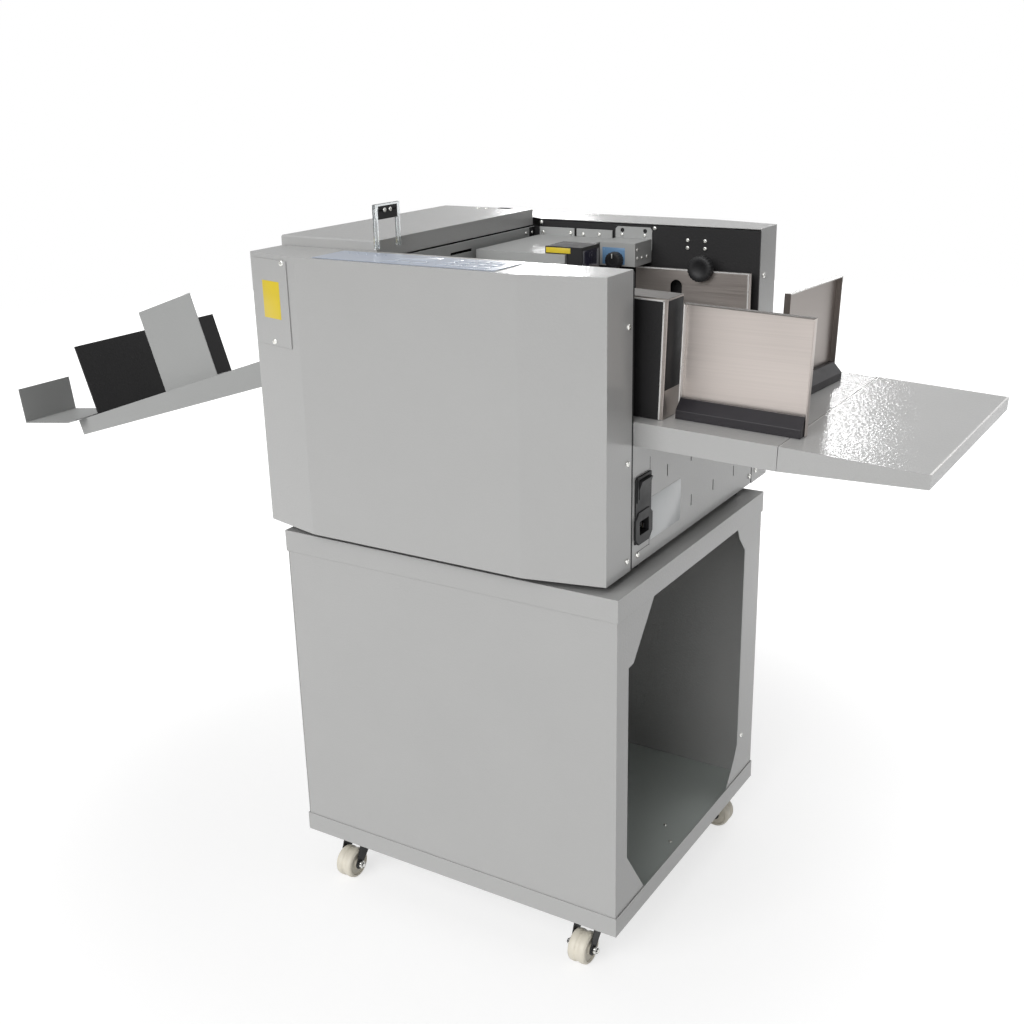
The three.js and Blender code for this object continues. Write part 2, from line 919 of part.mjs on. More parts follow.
function frameOutline() {
  const step = feedHeadLeft - seat;
  return [
    [machineLeft, panBottom],
    [machineRight, panBottom],
    [machineRight, frameTop],
    [step, frameTop],
    [step, lowFrameTop],
    [machineLeft, lowFrameTop],
  ];
}

// Two upright cheeks guide the tongue at one end of the blade beam
function cheeks(y0, y1) {
  const near = tongueWidth / 2 + running;
  const bottom = bedHeight + bladeDepth + windowMargin;
  return join(
    block(headX - near - cheekWidth, headX - near, y0, y1, bottom, bottom + cheekHeight),
    block(headX + near, headX + near + cheekWidth, y0, y1, bottom, bottom + cheekHeight),
  );
}

function framePlates() {
  const frontBack = frameFront + framePlate;
  const front = join(
    bores(prismY(frameOutline(), frameFront, frontBack), frameFront, frontBack),
    cheeks(frontBack - framePlate / 2, frontBack + cheekLength),
  );
  const motorHole = rodY(
    pinionX,
    camShaftHeight,
    motorBoss + running,
    frameFront - overrun,
    frontBack + overrun,
  );
  place('front_frame_plate', cut(front, motorHole), blackPlate);

  const rearBack = frameRear + framePlate;
  const armTop = lidBottom - hingeArm;
  const neck = hingePin + 2 * seat;
  const bracket = new THREE.Shape();
  bracket.moveTo(frameRear + framePlate / 2, armTop - hingeArm);
  bracket.lineTo(hingeY + hingeKnuckle, armTop - hingeArm);
  bracket.absarc(hingeY, hingeZ, hingeKnuckle, 0, 2 * Math.PI - Math.acos(neck / hingeKnuckle), false);
  bracket.lineTo(hingeY + neck, armTop);
  bracket.lineTo(frameRear + framePlate / 2, armTop);
  let rear = bores(prismY(frameOutline(), frameRear, rearBack), frameRear, rearBack);
  rear = cut(
    rear,
    rodY(feedMotorX, feedMotorZ, motorBoss + running, frameRear - overrun, rearBack + overrun),
  );
  rear = join(
    rear,
    cheeks(frameRear - cheekLength, frameRear + framePlate / 2),
    rodY(clampX, clampZ, clampBoss, rearGuideFront + rearGuideFlange + seat, frameRear + framePlate / 2),
  );
  for (const x0 of hingePlaces()) {
    const x1 = x0 + hingeWidth;
    rear = join(rear, prismX(bracket, x0, x1));
    rear = cut(rear, rodX(hingeY, hingeZ, hingePin + seat, x0 - overrun, x1 + overrun, smallSides));
  }
  const studBore = rodY(
    clampX,
    clampZ,
    clampStud + running,
    rearGuideFront,
    rearGuideFront + rearGuideFlange + clampStudDepth + seat,
  );
  place('rear_frame_plate', cut(rear, studBore), blackPlate);
}

function hingePlaces() {
  return [lidLeft + hingeInset, lidRight - hingeInset - hingeWidth];
}

// Front and rear covers: folded shells, closed on top and open to the frame
function coverShell(outline, backY) {
  const inner = inset(outline, sheet);
  const ends = [0, inner.length - 1];
  for (const i of ends) {
    inner[i][1] = backY;
  }
  return cut(
    prismZ(outline, panBottom - sheet, coverTop),
    prismZ(inner, panBottom - overrun, coverTop - sheet),
  );
}

function covers() {
  const frontBack = frameFront - coverGap;
  const frontOutline = [
    [machineLeft, frontBack],
    [machineLeft, frontCornerY],
    [machineLeft + frontFoldLeft, frontFaceY],
    [machineRight - frontFoldRight, frontFaceY],
    [machineRight, frontCornerY],
    [machineRight, frontBack],
  ];
  place('front_cover', coverShell(frontOutline, frontBack + overrun), paint);

  const rearFront = frameRear + framePlate + coverGap;
  const cornerY = rearFront + rearCornerDepth;
  const faceY = rearFront + rearFaceDepth;
  const rearOutline = [
    [machineRight, rearFront],
    [machineRight, cornerY],
    [machineRight - frontFoldRight, faceY],
    [machineLeft + frontFoldLeft, faceY],
    [machineLeft, cornerY],
    [machineLeft, rearFront],
  ];
  const notch = block(
    machineLeft - overrun,
    lidRight + lidNotchGap,
    rearFront - overrun,
    hingeY + hingeKnuckle + overrun,
    lidBottom - overrun,
    coverTop + overrun,
  );
  place('rear_cover', cut(coverShell(rearOutline, rearFront - overrun), notch), paint);

  const facet = groupAt(machine, machineLeft, frontCornerY, 0);
  facet.rotation.z = Math.atan2(frontFaceY - frontCornerY, frontFoldLeft);
  const panelTop = coverTop - accessTopGap;
  const access = block(
    accessLeft,
    accessLeft + accessWidth,
    -seat - sheet,
    -seat,
    panelTop - accessHeight,
    panelTop,
  );
  place('access_panel', access, paint, facet);

  const panelFront = frontFaceY + controlPanelInset + sheet;
  const controlPanel = block(
    controlPanelLeft,
    controlPanelLeft + controlPanelLength,
    panelFront,
    panelFront + controlPanelDepth,
    coverTop + seat,
    coverTop + seat + controlPanelThickness,
  );
  place('control_panel', controlPanel, overlay);
}

// Lid over the creasing head, hinged along its rear edge, with the clear lift handle
function lid() {
  const bent = new THREE.Shape();
  bent.moveTo(lidFront, lidBottom);
  bent.lineTo(lidRear, lidBottom);
  bent.lineTo(lidRear, lidTop - lidBend);
  bent.lineTo(lidRear - lidBend, lidTop);
  bent.lineTo(lidFront + lidBend, lidTop);
  bent.lineTo(lidFront, lidTop - lidBend);
  let shell = cut(
    prismX(bent, lidLeft, lidRight),
    block(
      lidLeft + sheet,
      lidRight - sheet,
      lidFront + sheet,
      lidRear - sheet,
      lidBottom - overrun,
      lidTop - sheet,
    ),
  );
  for (const x0 of hingePlaces()) {
    const x1 = x0 + hingeWidth;
    const earIn = seat + hingeEar;
    for (const [a, b] of [[x0 - earIn, x0 - seat], [x1 + seat, x1 + earIn]]) {
      const ear = new THREE.Shape();
      ear.moveTo(lidRear - sheet / 2, hingeZ - hingeKnuckle / 2);
      ear.lineTo(hingeY, hingeZ - hingeKnuckle);
      ear.absarc(hingeY, hingeZ, hingeKnuckle, -Math.PI / 2, Math.PI / 2, false);
      ear.lineTo(lidRear - sheet / 2, hingeZ + hingeKnuckle / 2);
      shell = join(shell, prismX(ear, a, b));
    }
    const pinEnd = seat + hingeEar / 2;
    shell = join(shell, rodX(hingeY, hingeZ, hingePin, x0 - pinEnd, x1 + pinEnd, smallSides));
  }
  place('lid', shell, paint);

  const x0 = lidRight + seat;
  const x1 = x0 + handlePlate;
  const y0 = handleFront;
  const y1 = handleFront + handleLength;
  const z0 = lidTop - handleFoot;
  const z1 = lidTop + handleTop;
  const handle = cut(
    block(x0, x1, y0, y1, z0, z1),
    block(
      x0 - overrun,
      x1 + overrun,
      y0 + handleBar,
      y1 - handleBar,
      z0 - overrun,
      z1 - handleBar,
    ),
  );
  place('lid_handle', handle, clear);

  const blockTop = z1 - handleBar - handleBlockInset;
  const grip = block(
    x0,
    x0 + handleBlockThickness,
    y0 + handleBar + handleBlockInset,
    y1 - handleBar - handleBlockInset,
    blockTop - handleBlockHeight,
    blockTop,
  );
  place('handle_block', grip, blackPlastic);
}

// Involute teeth for the gear pair
function involutePoint(baseRadius, angle, offset) {
  const cosine = Math.cos(angle + offset);
  const sine = Math.sin(angle + offset);
  return [baseRadius * (cosine + angle * sine), baseRadius * (sine - angle * cosine)];
}

function gearOutline(teeth, phase) {
  const pitchRadius = gearModule * teeth / 2;
  const baseRadius = pitchRadius * Math.cos(pressureAngle * degree);
  const tipRadius = pitchRadius + gearModule;
  const rootRadius = pitchRadius - gearModule - rootClearance;
  const startRadius = Math.max(rootRadius, baseRadius);
  const rollAt = (radius) => Math.sqrt(Math.max((radius / baseRadius) ** 2 - 1, 0));
  const spread = (roll) => roll - Math.atan(roll);
  const halfTooth = Math.PI / 2 / teeth - gearBacklash / 2 / pitchRadius + spread(rollAt(pitchRadius));
  const points = [];
  for (let tooth = 0; tooth < teeth; tooth += 1) {
    const centre = phase + tooth * 2 * Math.PI / teeth;
    const rootLow = centre - halfTooth;
    const rootHigh = centre + halfTooth;
    points.push([rootRadius * Math.cos(rootLow), rootRadius * Math.sin(rootLow)]);
    for (let i = 0; i <= flankSteps; i += 1) {
      const roll = rollAt(startRadius + (tipRadius - startRadius) * i / flankSteps);
      points.push(involutePoint(baseRadius, roll, rootLow));
    }
    for (let i = flankSteps; i >= 0; i -= 1) {
      const roll = rollAt(startRadius + (tipRadius - startRadius) * i / flankSteps);
      const [u, v] = involutePoint(baseRadius, roll, -rootHigh);
      points.push([u, -v]);
    }
    points.push([rootRadius * Math.cos(rootHigh), rootRadius * Math.sin(rootHigh)]);
  }
  return points;
}

function gearSolid(x, z, teeth, phase, y0, y1) {
  const outline = gearOutline(teeth, phase).map(([u, v]) => [x + u, z + v]);
  return prismY(outline, y0, y1);
}

// Creasing head: blade beam in cheeks, eccentric cams in its yokes, gear and motor
function creasingHead() {
  const anvilLeft = headX - anvilWidth / 2;
  const anvilRight = headX + anvilWidth / 2;
  const anvilShoulderZ = bedHeight - bedSheet - seat;
  const anvil = cut(
    join(
      block(anvilLeft, anvilRight, insideFront, insideRear, bedHeight - anvilDepth, anvilShoulderZ),
      block(
        anvilLeft,
        anvilRight,
        insideFront + anvilShoulder,
        insideRear - anvilShoulder,
        bedHeight - anvilDepth,
        bedHeight,
      ),
    ),
    block(
      headX - anvilGroove / 2,
      headX + anvilGroove / 2,
      insideFront - overrun,
      insideRear + overrun,
      bedHeight - anvilGrooveDepth,
      bedHeight + overrun,
    ),
  );
  place('crease_anvil', anvil, steel);

  const tip = bedHeight + bladeLift;
  const beamFront = frameFront + framePlate + beamEndGap;
  const beamRear = frameRear - beamEndGap;
  const half = bladeThickness / 2;
  const bladeOutline = [
    [headX - half, beamBottom + sheet],
    [headX - half, tip + half],
    [headX, tip],
    [headX + half, tip + half],
    [headX + half, beamBottom + sheet],
  ];
  const cavity = camRadius + camClearance;
  const yokeHalf = cavity + camThrow + yokeWall;
  const yokeTop = camShaftHeight + camThrow + cavity + yokeWall;
  let beam = join(
    block(headX - beamWidth / 2, headX + beamWidth / 2, beamFront, beamRear, beamBottom, beamTop),
    prismY(bladeOutline, beamFront, beamRear),
    block(
      headX - tongueWidth / 2,
      headX + tongueWidth / 2,
      beamFront - tongueLength,
      beamRear + tongueLength,
      beamBottom,
      beamTop,
    ),
  );
  for (const y of yokePlaces()) {
    const y0 = y - yokeThickness / 2;
    const y1 = y + yokeThickness / 2;
    const window = new THREE.Shape();
    const camZ = camShaftHeight + camThrow;
    window.absarc(headX + camThrow, camZ, cavity, -Math.PI / 2, Math.PI / 2, false);
    window.absarc(headX - camThrow, camZ, cavity, Math.PI / 2, Math.PI * 3 / 2, false);
    beam = join(beam, block(headX - yokeHalf, headX + yokeHalf, y0, y1, beamTop - sheet, yokeTop));
    beam = cut(beam, prismY(window, y0 - overrun, y1 + overrun));
  }
  place('blade_beam', beam, steel);

  const gearBack = frameFront - gearStandOff;
  const gearFront = gearBack - gearWidth;
  const shaftFront = gearFront - camShaftOverhang;
  const shaftRear = frameRear + framePlate + camShaftOverhang;
  let shaft = rodY(headX, camShaftHeight, camShaftRadius, shaftFront, shaftRear, smallSides);
  for (const y of yokePlaces()) {
    shaft = join(
      shaft,
      rodY(headX, camShaftHeight + camThrow, camRadius, y - camWidth / 2, y + camWidth / 2),
    );
  }
  let gear = gearSolid(headX, camShaftHeight, gearTeeth, 0, gearFront, gearBack);
  for (let i = 0; i < gearWindowCount; i += 1) {
    const angle = i * 2 * Math.PI / gearWindowCount;
    const x = headX + gearWindowCircle * Math.cos(angle);
    const z = camShaftHeight + gearWindowCircle * Math.sin(angle);
    gear = cut(gear, rodY(x, z, gearWindowRadius, gearFront - overrun, gearBack + overrun, smallSides));
  }
  const hub = rodY(headX, camShaftHeight, gearHubRadius, gearFront, frameFront - seat);
  place('cam_shaft', join(shaft, gear, hub), steel);

  const meshPhase = Math.PI + Math.PI / pinionTeeth;
  const pinionBody = join(
    gearSolid(pinionX, camShaftHeight, pinionTeeth, meshPhase, gearFront, gearBack),
    rodY(pinionX, camShaftHeight, pinionShaftRadius, gearFront - sheet, frameFront - seat),
  );
  place('cam_pinion', pinionBody, steel);

  const motorFront = insideFront;
  const motor = join(
    rodY(pinionX, camShaftHeight, creaseMotorRadius, motorFront, motorFront + creaseMotorLength),
    rodY(pinionX, camShaftHeight, motorBoss, frameFront, motorFront + motorFlange),
  );
  place('crease_motor', motor, blackPlastic);
}

function yokePlaces() {
  return [midY - yokeSpan / 2, midY + yokeSpan / 2];
}

// One transport roller with its sleeves, and a belt pulley if it is driven
function rollerSolid(driven) {
  const front = frameFront - shaftOverhang;
  const rear = frameRear + framePlate + shaftOverhang;
  const first = midY - sleevePitch * (sleeveCount - 1) / 2;
  const profile = [];
  profile.push([0, front], [rollerShaftRadius, front]);
  for (let i = 0; i < sleeveCount; i += 1) {
    const low = first + i * sleevePitch - sleeveWidth / 2;
    const high = low + sleeveWidth;
    profile.push([rollerShaftRadius, low], [rollerRadius, low]);
    profile.push([rollerRadius, high], [rollerShaftRadius, high]);
  }
  if (driven) {
    profile.push(...pulleyProfile(pulleyRadius));
  } else {
    profile.push([rollerShaftRadius, rear], [0, rear]);
  }
  return turnedY(profile, smallSides);
}

function pulleyProfile(radius) {
  const y0 = frameRear + framePlate + pulleyStandOff;
  const y1 = y0 + pulleyFlangeThickness;
  const y2 = y1 + pulleyWidth;
  const y3 = y2 + pulleyFlangeThickness;
  const rim = radius + pulleyFlange;
  return [
    [rollerShaftRadius, y0],
    [rim, y0],
    [rim, y1],
    [radius, y1],
    [radius, y2],
    [rim, y2],
    [rim, y3],
    [0, y3],
  ];
}

function transport() {
  const spots = [
    ['infeed_lower_roller', infeedX, lowerRollerZ, true],
    ['infeed_upper_roller', infeedX, upperRollerZ, false],
    ['outfeed_lower_roller', outfeedX, lowerRollerZ, true],
    ['outfeed_upper_roller', outfeedX, upperRollerZ, false],
  ];
  for (const [name, x, z, driven] of spots) {
    const mesh = place(name, rollerSolid(driven), rubber);
    mesh.position.set(x, 0, z);
  }

  const half = feedMotorSide / 2;
  const motor = join(
    block(
      feedMotorX - half,
      feedMotorX + half,
      insideRear - feedMotorLength,
      insideRear,
      feedMotorZ - half,
      feedMotorZ + half,
    ),
    rodY(feedMotorX, feedMotorZ, motorBoss, insideRear - motorFlange, frameRear + framePlate),
  );
  const corner = prismY(
    [
      [-feedMotorCorner, 0],
      [0, -feedMotorCorner],
      [feedMotorCorner, 0],
      [0, feedMotorCorner],
    ],
    insideRear - feedMotorLength - overrun,
    insideRear + overrun,
  );
  let body = motor;
  for (const sx of [-half, half]) {
    for (const sz of [-half, half]) {
      body = cut(body, corner.translate([feedMotorX + sx, 0, feedMotorZ + sz]));
    }
  }
  place('feed_motor', body, blackPlastic);

  const pulleyStart = frameRear + framePlate + seat;
  const pulley = turnedY([
    [0, pulleyStart],
    [rollerShaftRadius, pulleyStart],
    ...pulleyProfile(motorPulleyRadius),
  ]);
  place('motor_pulley', pulley, aluminium).position.set(feedMotorX, 0, feedMotorZ);

  const wheels = [
    [feedMotorX, feedMotorZ, motorPulleyRadius],
    [infeedX, lowerRollerZ, pulleyRadius],
    [outfeedX, lowerRollerZ, pulleyRadius],
  ];
  const y0 = frameRear + framePlate + pulleyStandOff + pulleyFlangeThickness + seat;
  const y1 = y0 + pulleyWidth - 2 * seat;
  const belt = cut(
    prismY(wrap(wheels, seat + beltThickness), y0, y1),
    prismY(wrap(wheels, seat), y0 - overrun, y1 + overrun),
  );
  place('drive_belt', belt, rubber);
}

// The outline of a band stretched round several wheels
function wrap(wheels, gap) {
  const points = [];
  for (const [x, z, radius] of wheels) {
    for (let i = 0; i < roundSides; i += 1) {
      const angle = i * 2 * Math.PI / roundSides;
      points.push([x + (radius + gap) * Math.cos(angle), z + (radius + gap) * Math.sin(angle)]);
    }
  }
  points.sort((a, b) => a[0] - b[0] || a[1] - b[1]);
  const turn = (o, a, b) => (a[0] - o[0]) * (b[1] - o[1]) - (a[1] - o[1]) * (b[0] - o[0]);
  const chain = (list) => {
    const kept = [];
    for (const point of list) {
      while (kept.length > 1 && turn(kept[kept.length - 2], kept[kept.length - 1], point) <= 0) {
        kept.pop();
      }
      kept.push(point);
    }
    kept.pop();
    return kept;
  };
  return [...chain(points), ...chain([...points].reverse())];
}

// Paper bed: level under the creasing head, then a ramp down to the feed table
function paperBed() {
  const left = machineLeft + sheet + seat;
  const tableEdge = machineRight - tableInside - seat;
  const rampEnd = tableAt(tableEdge) + rollerProud;
  const outline = [
    [left, bedHeight],
    [left, bedHeight - bedSheet],
    [bedEnd, bedHeight - bedSheet],
    [tableEdge, rampEnd - bedSheet],
    [tableEdge, rampEnd],
    [bedEnd, bedHeight],
  ];
  const anvilHalf = anvilWidth / 2 + seat;
  let bed = cut(
    prismY(outline, insideFront, insideRear),
    block(
      headX - anvilHalf,
      headX + anvilHalf,
      insideFront + anvilShoulder - seat,
      insideRear - anvilShoulder + seat,
      bedHeight - overrun,
      bedHeight + overrun,
    ),
  );
  const first = midY - sleevePitch * (sleeveCount - 1) / 2;
  const chord = Math.sqrt(rollerRadius ** 2 - (rollerRadius - rollerProud - bedSheet) ** 2);
  for (const x of [infeedX, outfeedX]) {
    for (let i = 0; i < sleeveCount; i += 1) {
      const y = first + i * sleevePitch;
      const window = block(
        x - chord - windowMargin,
        x + chord + windowMargin,
        y - sleeveWidth / 2 - windowMargin,
        y + sleeveWidth / 2 + windowMargin,
        bedHeight - overrun,
        bedHeight + overrun,
      );
      bed = cut(bed, window);
    }
  }
  return bed;
}

// Feed head over the ramp, with the gate that lets one sheet pass
function feedHead() {
  const rear = insideRear - feedHeadRearGap;
  const lowTop = feedHeadTop - headStepDrop;
  const topOutline = [
    [feedHeadLeft, headStepY],
    [feedHeadRight, headStepY],
    [feedHeadRight, feedHeadNotchY],
    [feedHeadNotchX, feedHeadNotchY],
    [feedHeadNotchX, rear],
    [feedHeadLeft, rear],
  ];
  const gateBottom = tableAt(feedHeadRight - sheet) + gateGap;
  const sideBottom = feedHeadTop - headSideDrop;
  let head = join(
    prismZ(topOutline, feedHeadTop - sheet, feedHeadTop),
    block(feedHeadLeft, feedHeadRight, insideFront, headStepY + sheet, lowTop - sheet, lowTop),
    block(feedHeadLeft, feedHeadRight, headStepY, headStepY + sheet, lowTop - sheet, feedHeadTop),
    block(feedHeadLeft, feedHeadLeft + sheet, headStepY, rear, sideBottom, feedHeadTop),
    block(feedHeadLeft, feedHeadLeft + sheet, insideFront, headStepY + sheet, sideBottom, lowTop),
    block(
      feedHeadRight - sheet,
      feedHeadRight,
      insideFront,
      insideRear - gateRearGap,
      gateBottom,
      gateTop,
    ),
    block(feedHeadRight - sheet, feedHeadRight, headStepY, feedHeadNotchY, gateTop - sheet, feedHeadTop),
    block(feedHeadRight - sheet, feedHeadRight, insideFront, headStepY + sheet, gateTop - sheet, lowTop),
  );
  for (let i = 0; i < 2; i += 1) {
    const x0 = feedHeadLeft + i * (earWidth + earGap);
    head = join(
      head,
      block(x0, x0 + earWidth, rear - earThickness, rear, feedHeadTop - sheet, feedHeadTop + earRise),
    );
  }
  place('feed_head', head, panelGrey);

  const rotorZ = tableAt(rotorX) + rotorProud - rotorRadius;
  const profile = [];
  const front = frameFront - shaftOverhang;
  const back = frameRear + framePlate + shaftOverhang;
  profile.push([0, front], [rotorShaftRadius, front]);
  for (let i = 0; i < rotorBandCount; i += 1) {
    const low = rotorFrontY + i * (rotorBand + rotorGroove);
    const floor = rotorRadius - rotorGrooveDepth;
    profile.push([i === 0 ? rotorShaftRadius : floor, low], [rotorRadius, low]);
    profile.push([rotorRadius, low + rotorBand]);
    profile.push([i === rotorBandCount - 1 ? rotorShaftRadius : floor, low + rotorBand]);
  }
  profile.push([rotorShaftRadius, back], [0, back]);
  place('feed_rotor', turnedY(profile, roundSides), aluminium).position.set(rotorX, 0, rotorZ);

  const displayTop = feedHeadTop + seat + displayHeight;
  const displayRear = displayFront + displayDepth;
  const display = join(
    block(displayLeft, displayRight, displayFront, displayRear, feedHeadTop + seat, displayTop),
    block(
      feedHeadRight + seat,
      displayRight,
      displayFront,
      displayRear,
      feedHeadTop - displayDrop,
      displayTop,
    ),
  );
  place('display_box', display, blackPlastic);

  const controlRear = insideRear;
  const controlFront = controlRear - controlDepth;
  const tabRight = controlTabLeft + controlTabLength;
  const tabTop = controlTop + controlTabRise;
  const tab = new THREE.Shape();
  tab.moveTo(controlTabLeft, controlTop - controlTabRise);
  tab.lineTo(tabRight, controlTop - controlTabRise);
  tab.lineTo(tabRight, tabTop - controlTabCorner);
  tab.lineTo(tabRight - controlTabCorner, tabTop);
  tab.lineTo(controlTabLeft + controlTabCorner, tabTop);
  tab.lineTo(controlTabLeft, tabTop - controlTabCorner);
  let box = join(
    block(
      controlLeft,
      controlLeft + controlLength,
      controlFront,
      controlRear,
      controlTop - controlHeight,
      controlTop,
    ),
    prismY(tab, controlRear - sheet, controlRear),
  );
  const tabMiddle = controlTabLeft + controlTabLength / 2;
  for (const side of [-1, 1]) {
    const x = tabMiddle + side * keyholePitch / 2;
    const z = controlTop + keyholeRise;
    box = cut(box, rodY(x, z, keyholeRadius, controlRear - sheet - overrun, controlRear + overrun));
  }
  box = cut(
    box,
    rodY(knobX, knobZ, knobStem + running, controlFront - overrun, controlFront + knobStemLength + seat),
  );
  place('control_box', box, panelGrey);

  const knobBack = controlFront - knobStandOff;
  const knob = join(
    rodY(knobX, knobZ, knobRadius, knobBack - knobLength, knobBack),
    rodY(knobX, knobZ, knobStem, knobBack - sheet, controlFront + knobStemLength),
  );
  const flutes = fluted(knob, knobX, knobZ, knobRadius, knobFlutes, knobBack - knobLength, knobBack - sheet);
  place('speed_knob', flutes, blackPlastic);
}

// Grip flutes round a knob
function fluted(knob, x, z, radius, count, y0, y1) {
  let result = knob;
  for (let i = 0; i < count; i += 1) {
    const angle = i * 2 * Math.PI / count;
    const reach = radius + clampFluteDepth;
    result = cut(
      result,
      rodY(
        x + reach * Math.cos(angle),
        z + reach * Math.sin(angle),
        2 * clampFluteDepth,
        y0 - overrun,
        y1,
        fluteSides,
      ),
    );
  }
  return result;
}

// Blower that holds the lowest sheet on the rotor
function blower() {
  const scroll = new THREE.Shape();
  for (let i = 0; i <= blowerSteps; i += 1) {
    const angle = i * 2 * Math.PI / blowerSteps;
    const radius = blowerRadius - blowerScroll * (1 - i / blowerSteps);
    const x = blowerX + radius * Math.cos(angle);
    const z = blowerZ + radius * Math.sin(angle);
    if (i === 0) {
      scroll.moveTo(x, z);
    } else {
      scroll.lineTo(x, z);
    }
  }
  const y0 = blowerY - blowerWidth / 2;
  const y1 = blowerY + blowerWidth / 2;
  const body = join(
    prismY(scroll, y0, y1),
    block(
      blowerX + blowerRadius - blowerOutlet,
      blowerX + blowerRadius,
      y0,
      y1,
      blowerZ,
      blowerZ + blowerRadius + blowerFootHeight,
    ),
    rodY(blowerX, blowerZ, blowerMotorRadius, y1 - sheet, y1 + blowerMotorLength),
    block(
      blowerX - blowerRadius / 2,
      blowerX + blowerRadius / 2,
      y0,
      y1,
      panBottom + sheet + seat,
      blowerZ - blowerRadius / 2,
    ),
  );
  place('blower', body, blackPlastic);
}

// Guides that stand at the machine side of the feed table
function rearGuide() {
  const back = rearGuideFront + rearGuideFlange;
  const plateOutline = [
    [rearGuideLeft, tableAt(rearGuideLeft) + seat],
    [rearGuideRight, tableAt(rearGuideRight) + seat],
    [rearGuideRight, rearGuideTop],
    [rearGuideLeft, rearGuideTop],
  ];
  const inner = block(
    rearGuideLeft + sheet,
    rearGuideRight - sheet,
    rearGuideFront + sheet,
    back + overrun,
    tableTop - overrun,
    rearGuideTop - sheet,
  );
  const slotX = rearSlotLeft + rearSlotWidth / 2;
  const slot = new THREE.Shape();
  slot.moveTo(rearSlotLeft, tableTop - overrun);
  slot.lineTo(rearSlotLeft + rearSlotWidth, tableTop - overrun);
  slot.absarc(slotX, rearSlotTop - rearSlotWidth / 2, rearSlotWidth / 2, 0, Math.PI, false);
  const notchHalf = clampTravel + clampStud + 2 * running;
  const guide = cut(
    prismY(plateOutline, rearGuideFront, back),
    inner,
    prismY(slot, rearGuideFront - overrun, back),
    block(
      clampX - notchHalf,
      clampX + notchHalf,
      rearGuideFront - overrun,
      back + overrun,
      clampZ - clampStud - 2 * running,
      rearGuideTop + overrun,
    ),
  );
  place('rear_guide', guide, stainless);

  const knobBack = rearGuideFront - seat;
  const knob = join(
    rodY(clampX, clampZ, clampRadius, knobBack - clampLength, knobBack, 2 * roundSides),
    rodY(clampX, clampZ, clampStud, knobBack - sheet, back + clampStudDepth),
  );
  const grip = fluted(
    knob,
    clampX,
    clampZ,
    clampRadius,
    clampFlutes,
    knobBack - clampLength,
    knobBack + overrun,
  );
  place('clamp_knob', grip, blackPlastic);
}

function innerGuide(table) {
  const x1 = innerGuideRight;
  const x0 = x1 - innerGuideLength;
  const y0 = innerGuideFront;
  const y1 = y0 + innerGuideDepth;
  const box = cut(
    block(x0, x1, y0, y1, seat, innerGuideHeight),
    block(x0 + sheet, x1 - sheet, y0 + sheet, y1 - sheet, seat - overrun, innerGuideHeight - sheet),
  );
  place('inner_guide', box, stainless, table);

  const face = block(
    x0,
    x1 - innerFaceRight,
    y0 - seat - sheet,
    y0 - seat,
    2 * seat,
    innerGuideHeight - innerFaceTop,
  );
  place('inner_guide_face', face, blackPlate, table);
}

// A magnetic guide: bevelled base with a bright plate whose edges are folded round it
function magneticGuide(names, table, x, y, turn) {
  const group = groupAt(table, x, y, 0);
  group.rotation.z = turn * degree;
  const half = magnetLength / 2;
  const back = -sheet - seat;
  const front = back - magnetDepth;
  const baseOutline = [
    [front, seat],
    [back, seat],
    [back, magnetHeight],
    [front + magnetBevel, magnetHeight],
    [front, magnetFace],
  ];
  place(names[1], prismX(baseOutline, -half, half), blackPlastic, group);

  const outer = half + seat + sheet;
  const plate = join(
    block(-outer, outer, -sheet, 0, seat, guideHeight),
    block(-outer, -outer + sheet, -guideFlange, 0, seat, guideHeight),
    block(outer - sheet, outer, -guideFlange, 0, seat, guideHeight),
    block(-outer, outer, -guideFlange, 0, guideHeight - sheet, guideHeight),
  );
  place(names[0], plate, stainless, group);
}

// Feed table with its skirts, the rotor window and the extension leaf
function feedTable() {
  const table = groupAt(machine, machineRight, tableFront, tableTop);
  table.rotation.y = tableSlope * degree;
  const skirtStart = seat + tableSkirt * tableDrop;
  const rotorAt = (rotorX - machineRight) / Math.cos(tableSlope * degree);
  const windowFront = rotorFrontY - tableFront - windowMargin;
  const windowLength = rotorBandCount * (rotorBand + rotorGroove) - rotorGroove + 2 * windowMargin;
  const top = cut(
    join(
      block(-tableInside, tableLength, 0, tableWidth, -sheet, 0),
      block(skirtStart, tableLength, 0, sheet, -tableSkirt, 0),
      block(skirtStart, tableLength, tableWidth - sheet, tableWidth, -tableSkirt, 0),
      block(tableLength - sheet, tableLength, 0, tableWidth, -tableSkirt, 0),
    ),
    block(
      rotorAt - rotorWindow,
      rotorAt + rotorWindow,
      windowFront,
      windowFront + windowLength,
      -overrun,
      overrun,
    ),
  );
  place('feed_table', top, paint, table);

  const leaf = groupAt(table, tableLength + extensionGap, 0, 0);
  leaf.rotation.y = extensionSlope * degree;
  const skirtOutline = [
    [0, 0],
    [0, -tableSkirt],
    [extensionLength, -extensionEndSkirt],
    [extensionLength, 0],
  ];
  const extension = join(
    block(0, extensionLength, 0, tableWidth, -sheet, 0),
    prismY(skirtOutline, 0, sheet),
    prismY(skirtOutline, tableWidth - sheet, tableWidth),
    block(0, sheet, 0, tableWidth, -tableSkirt, 0),
    block(extensionLength - sheet, extensionLength, 0, tableWidth, -extensionEndSkirt, 0),
  );
  place('table_extension', extension, paint, leaf);

  magneticGuide(['side_guide_plate', 'side_guide_base'], table, sideGuideMiddle, sideGuideBack, 0);
  magneticGuide(
    ['tail_stop_plate', 'tail_stop_base'],
    table,
    tailStopX,
    tailStopY,
    quarterTurn - tailStopYaw,
  );
  innerGuide(table);
}

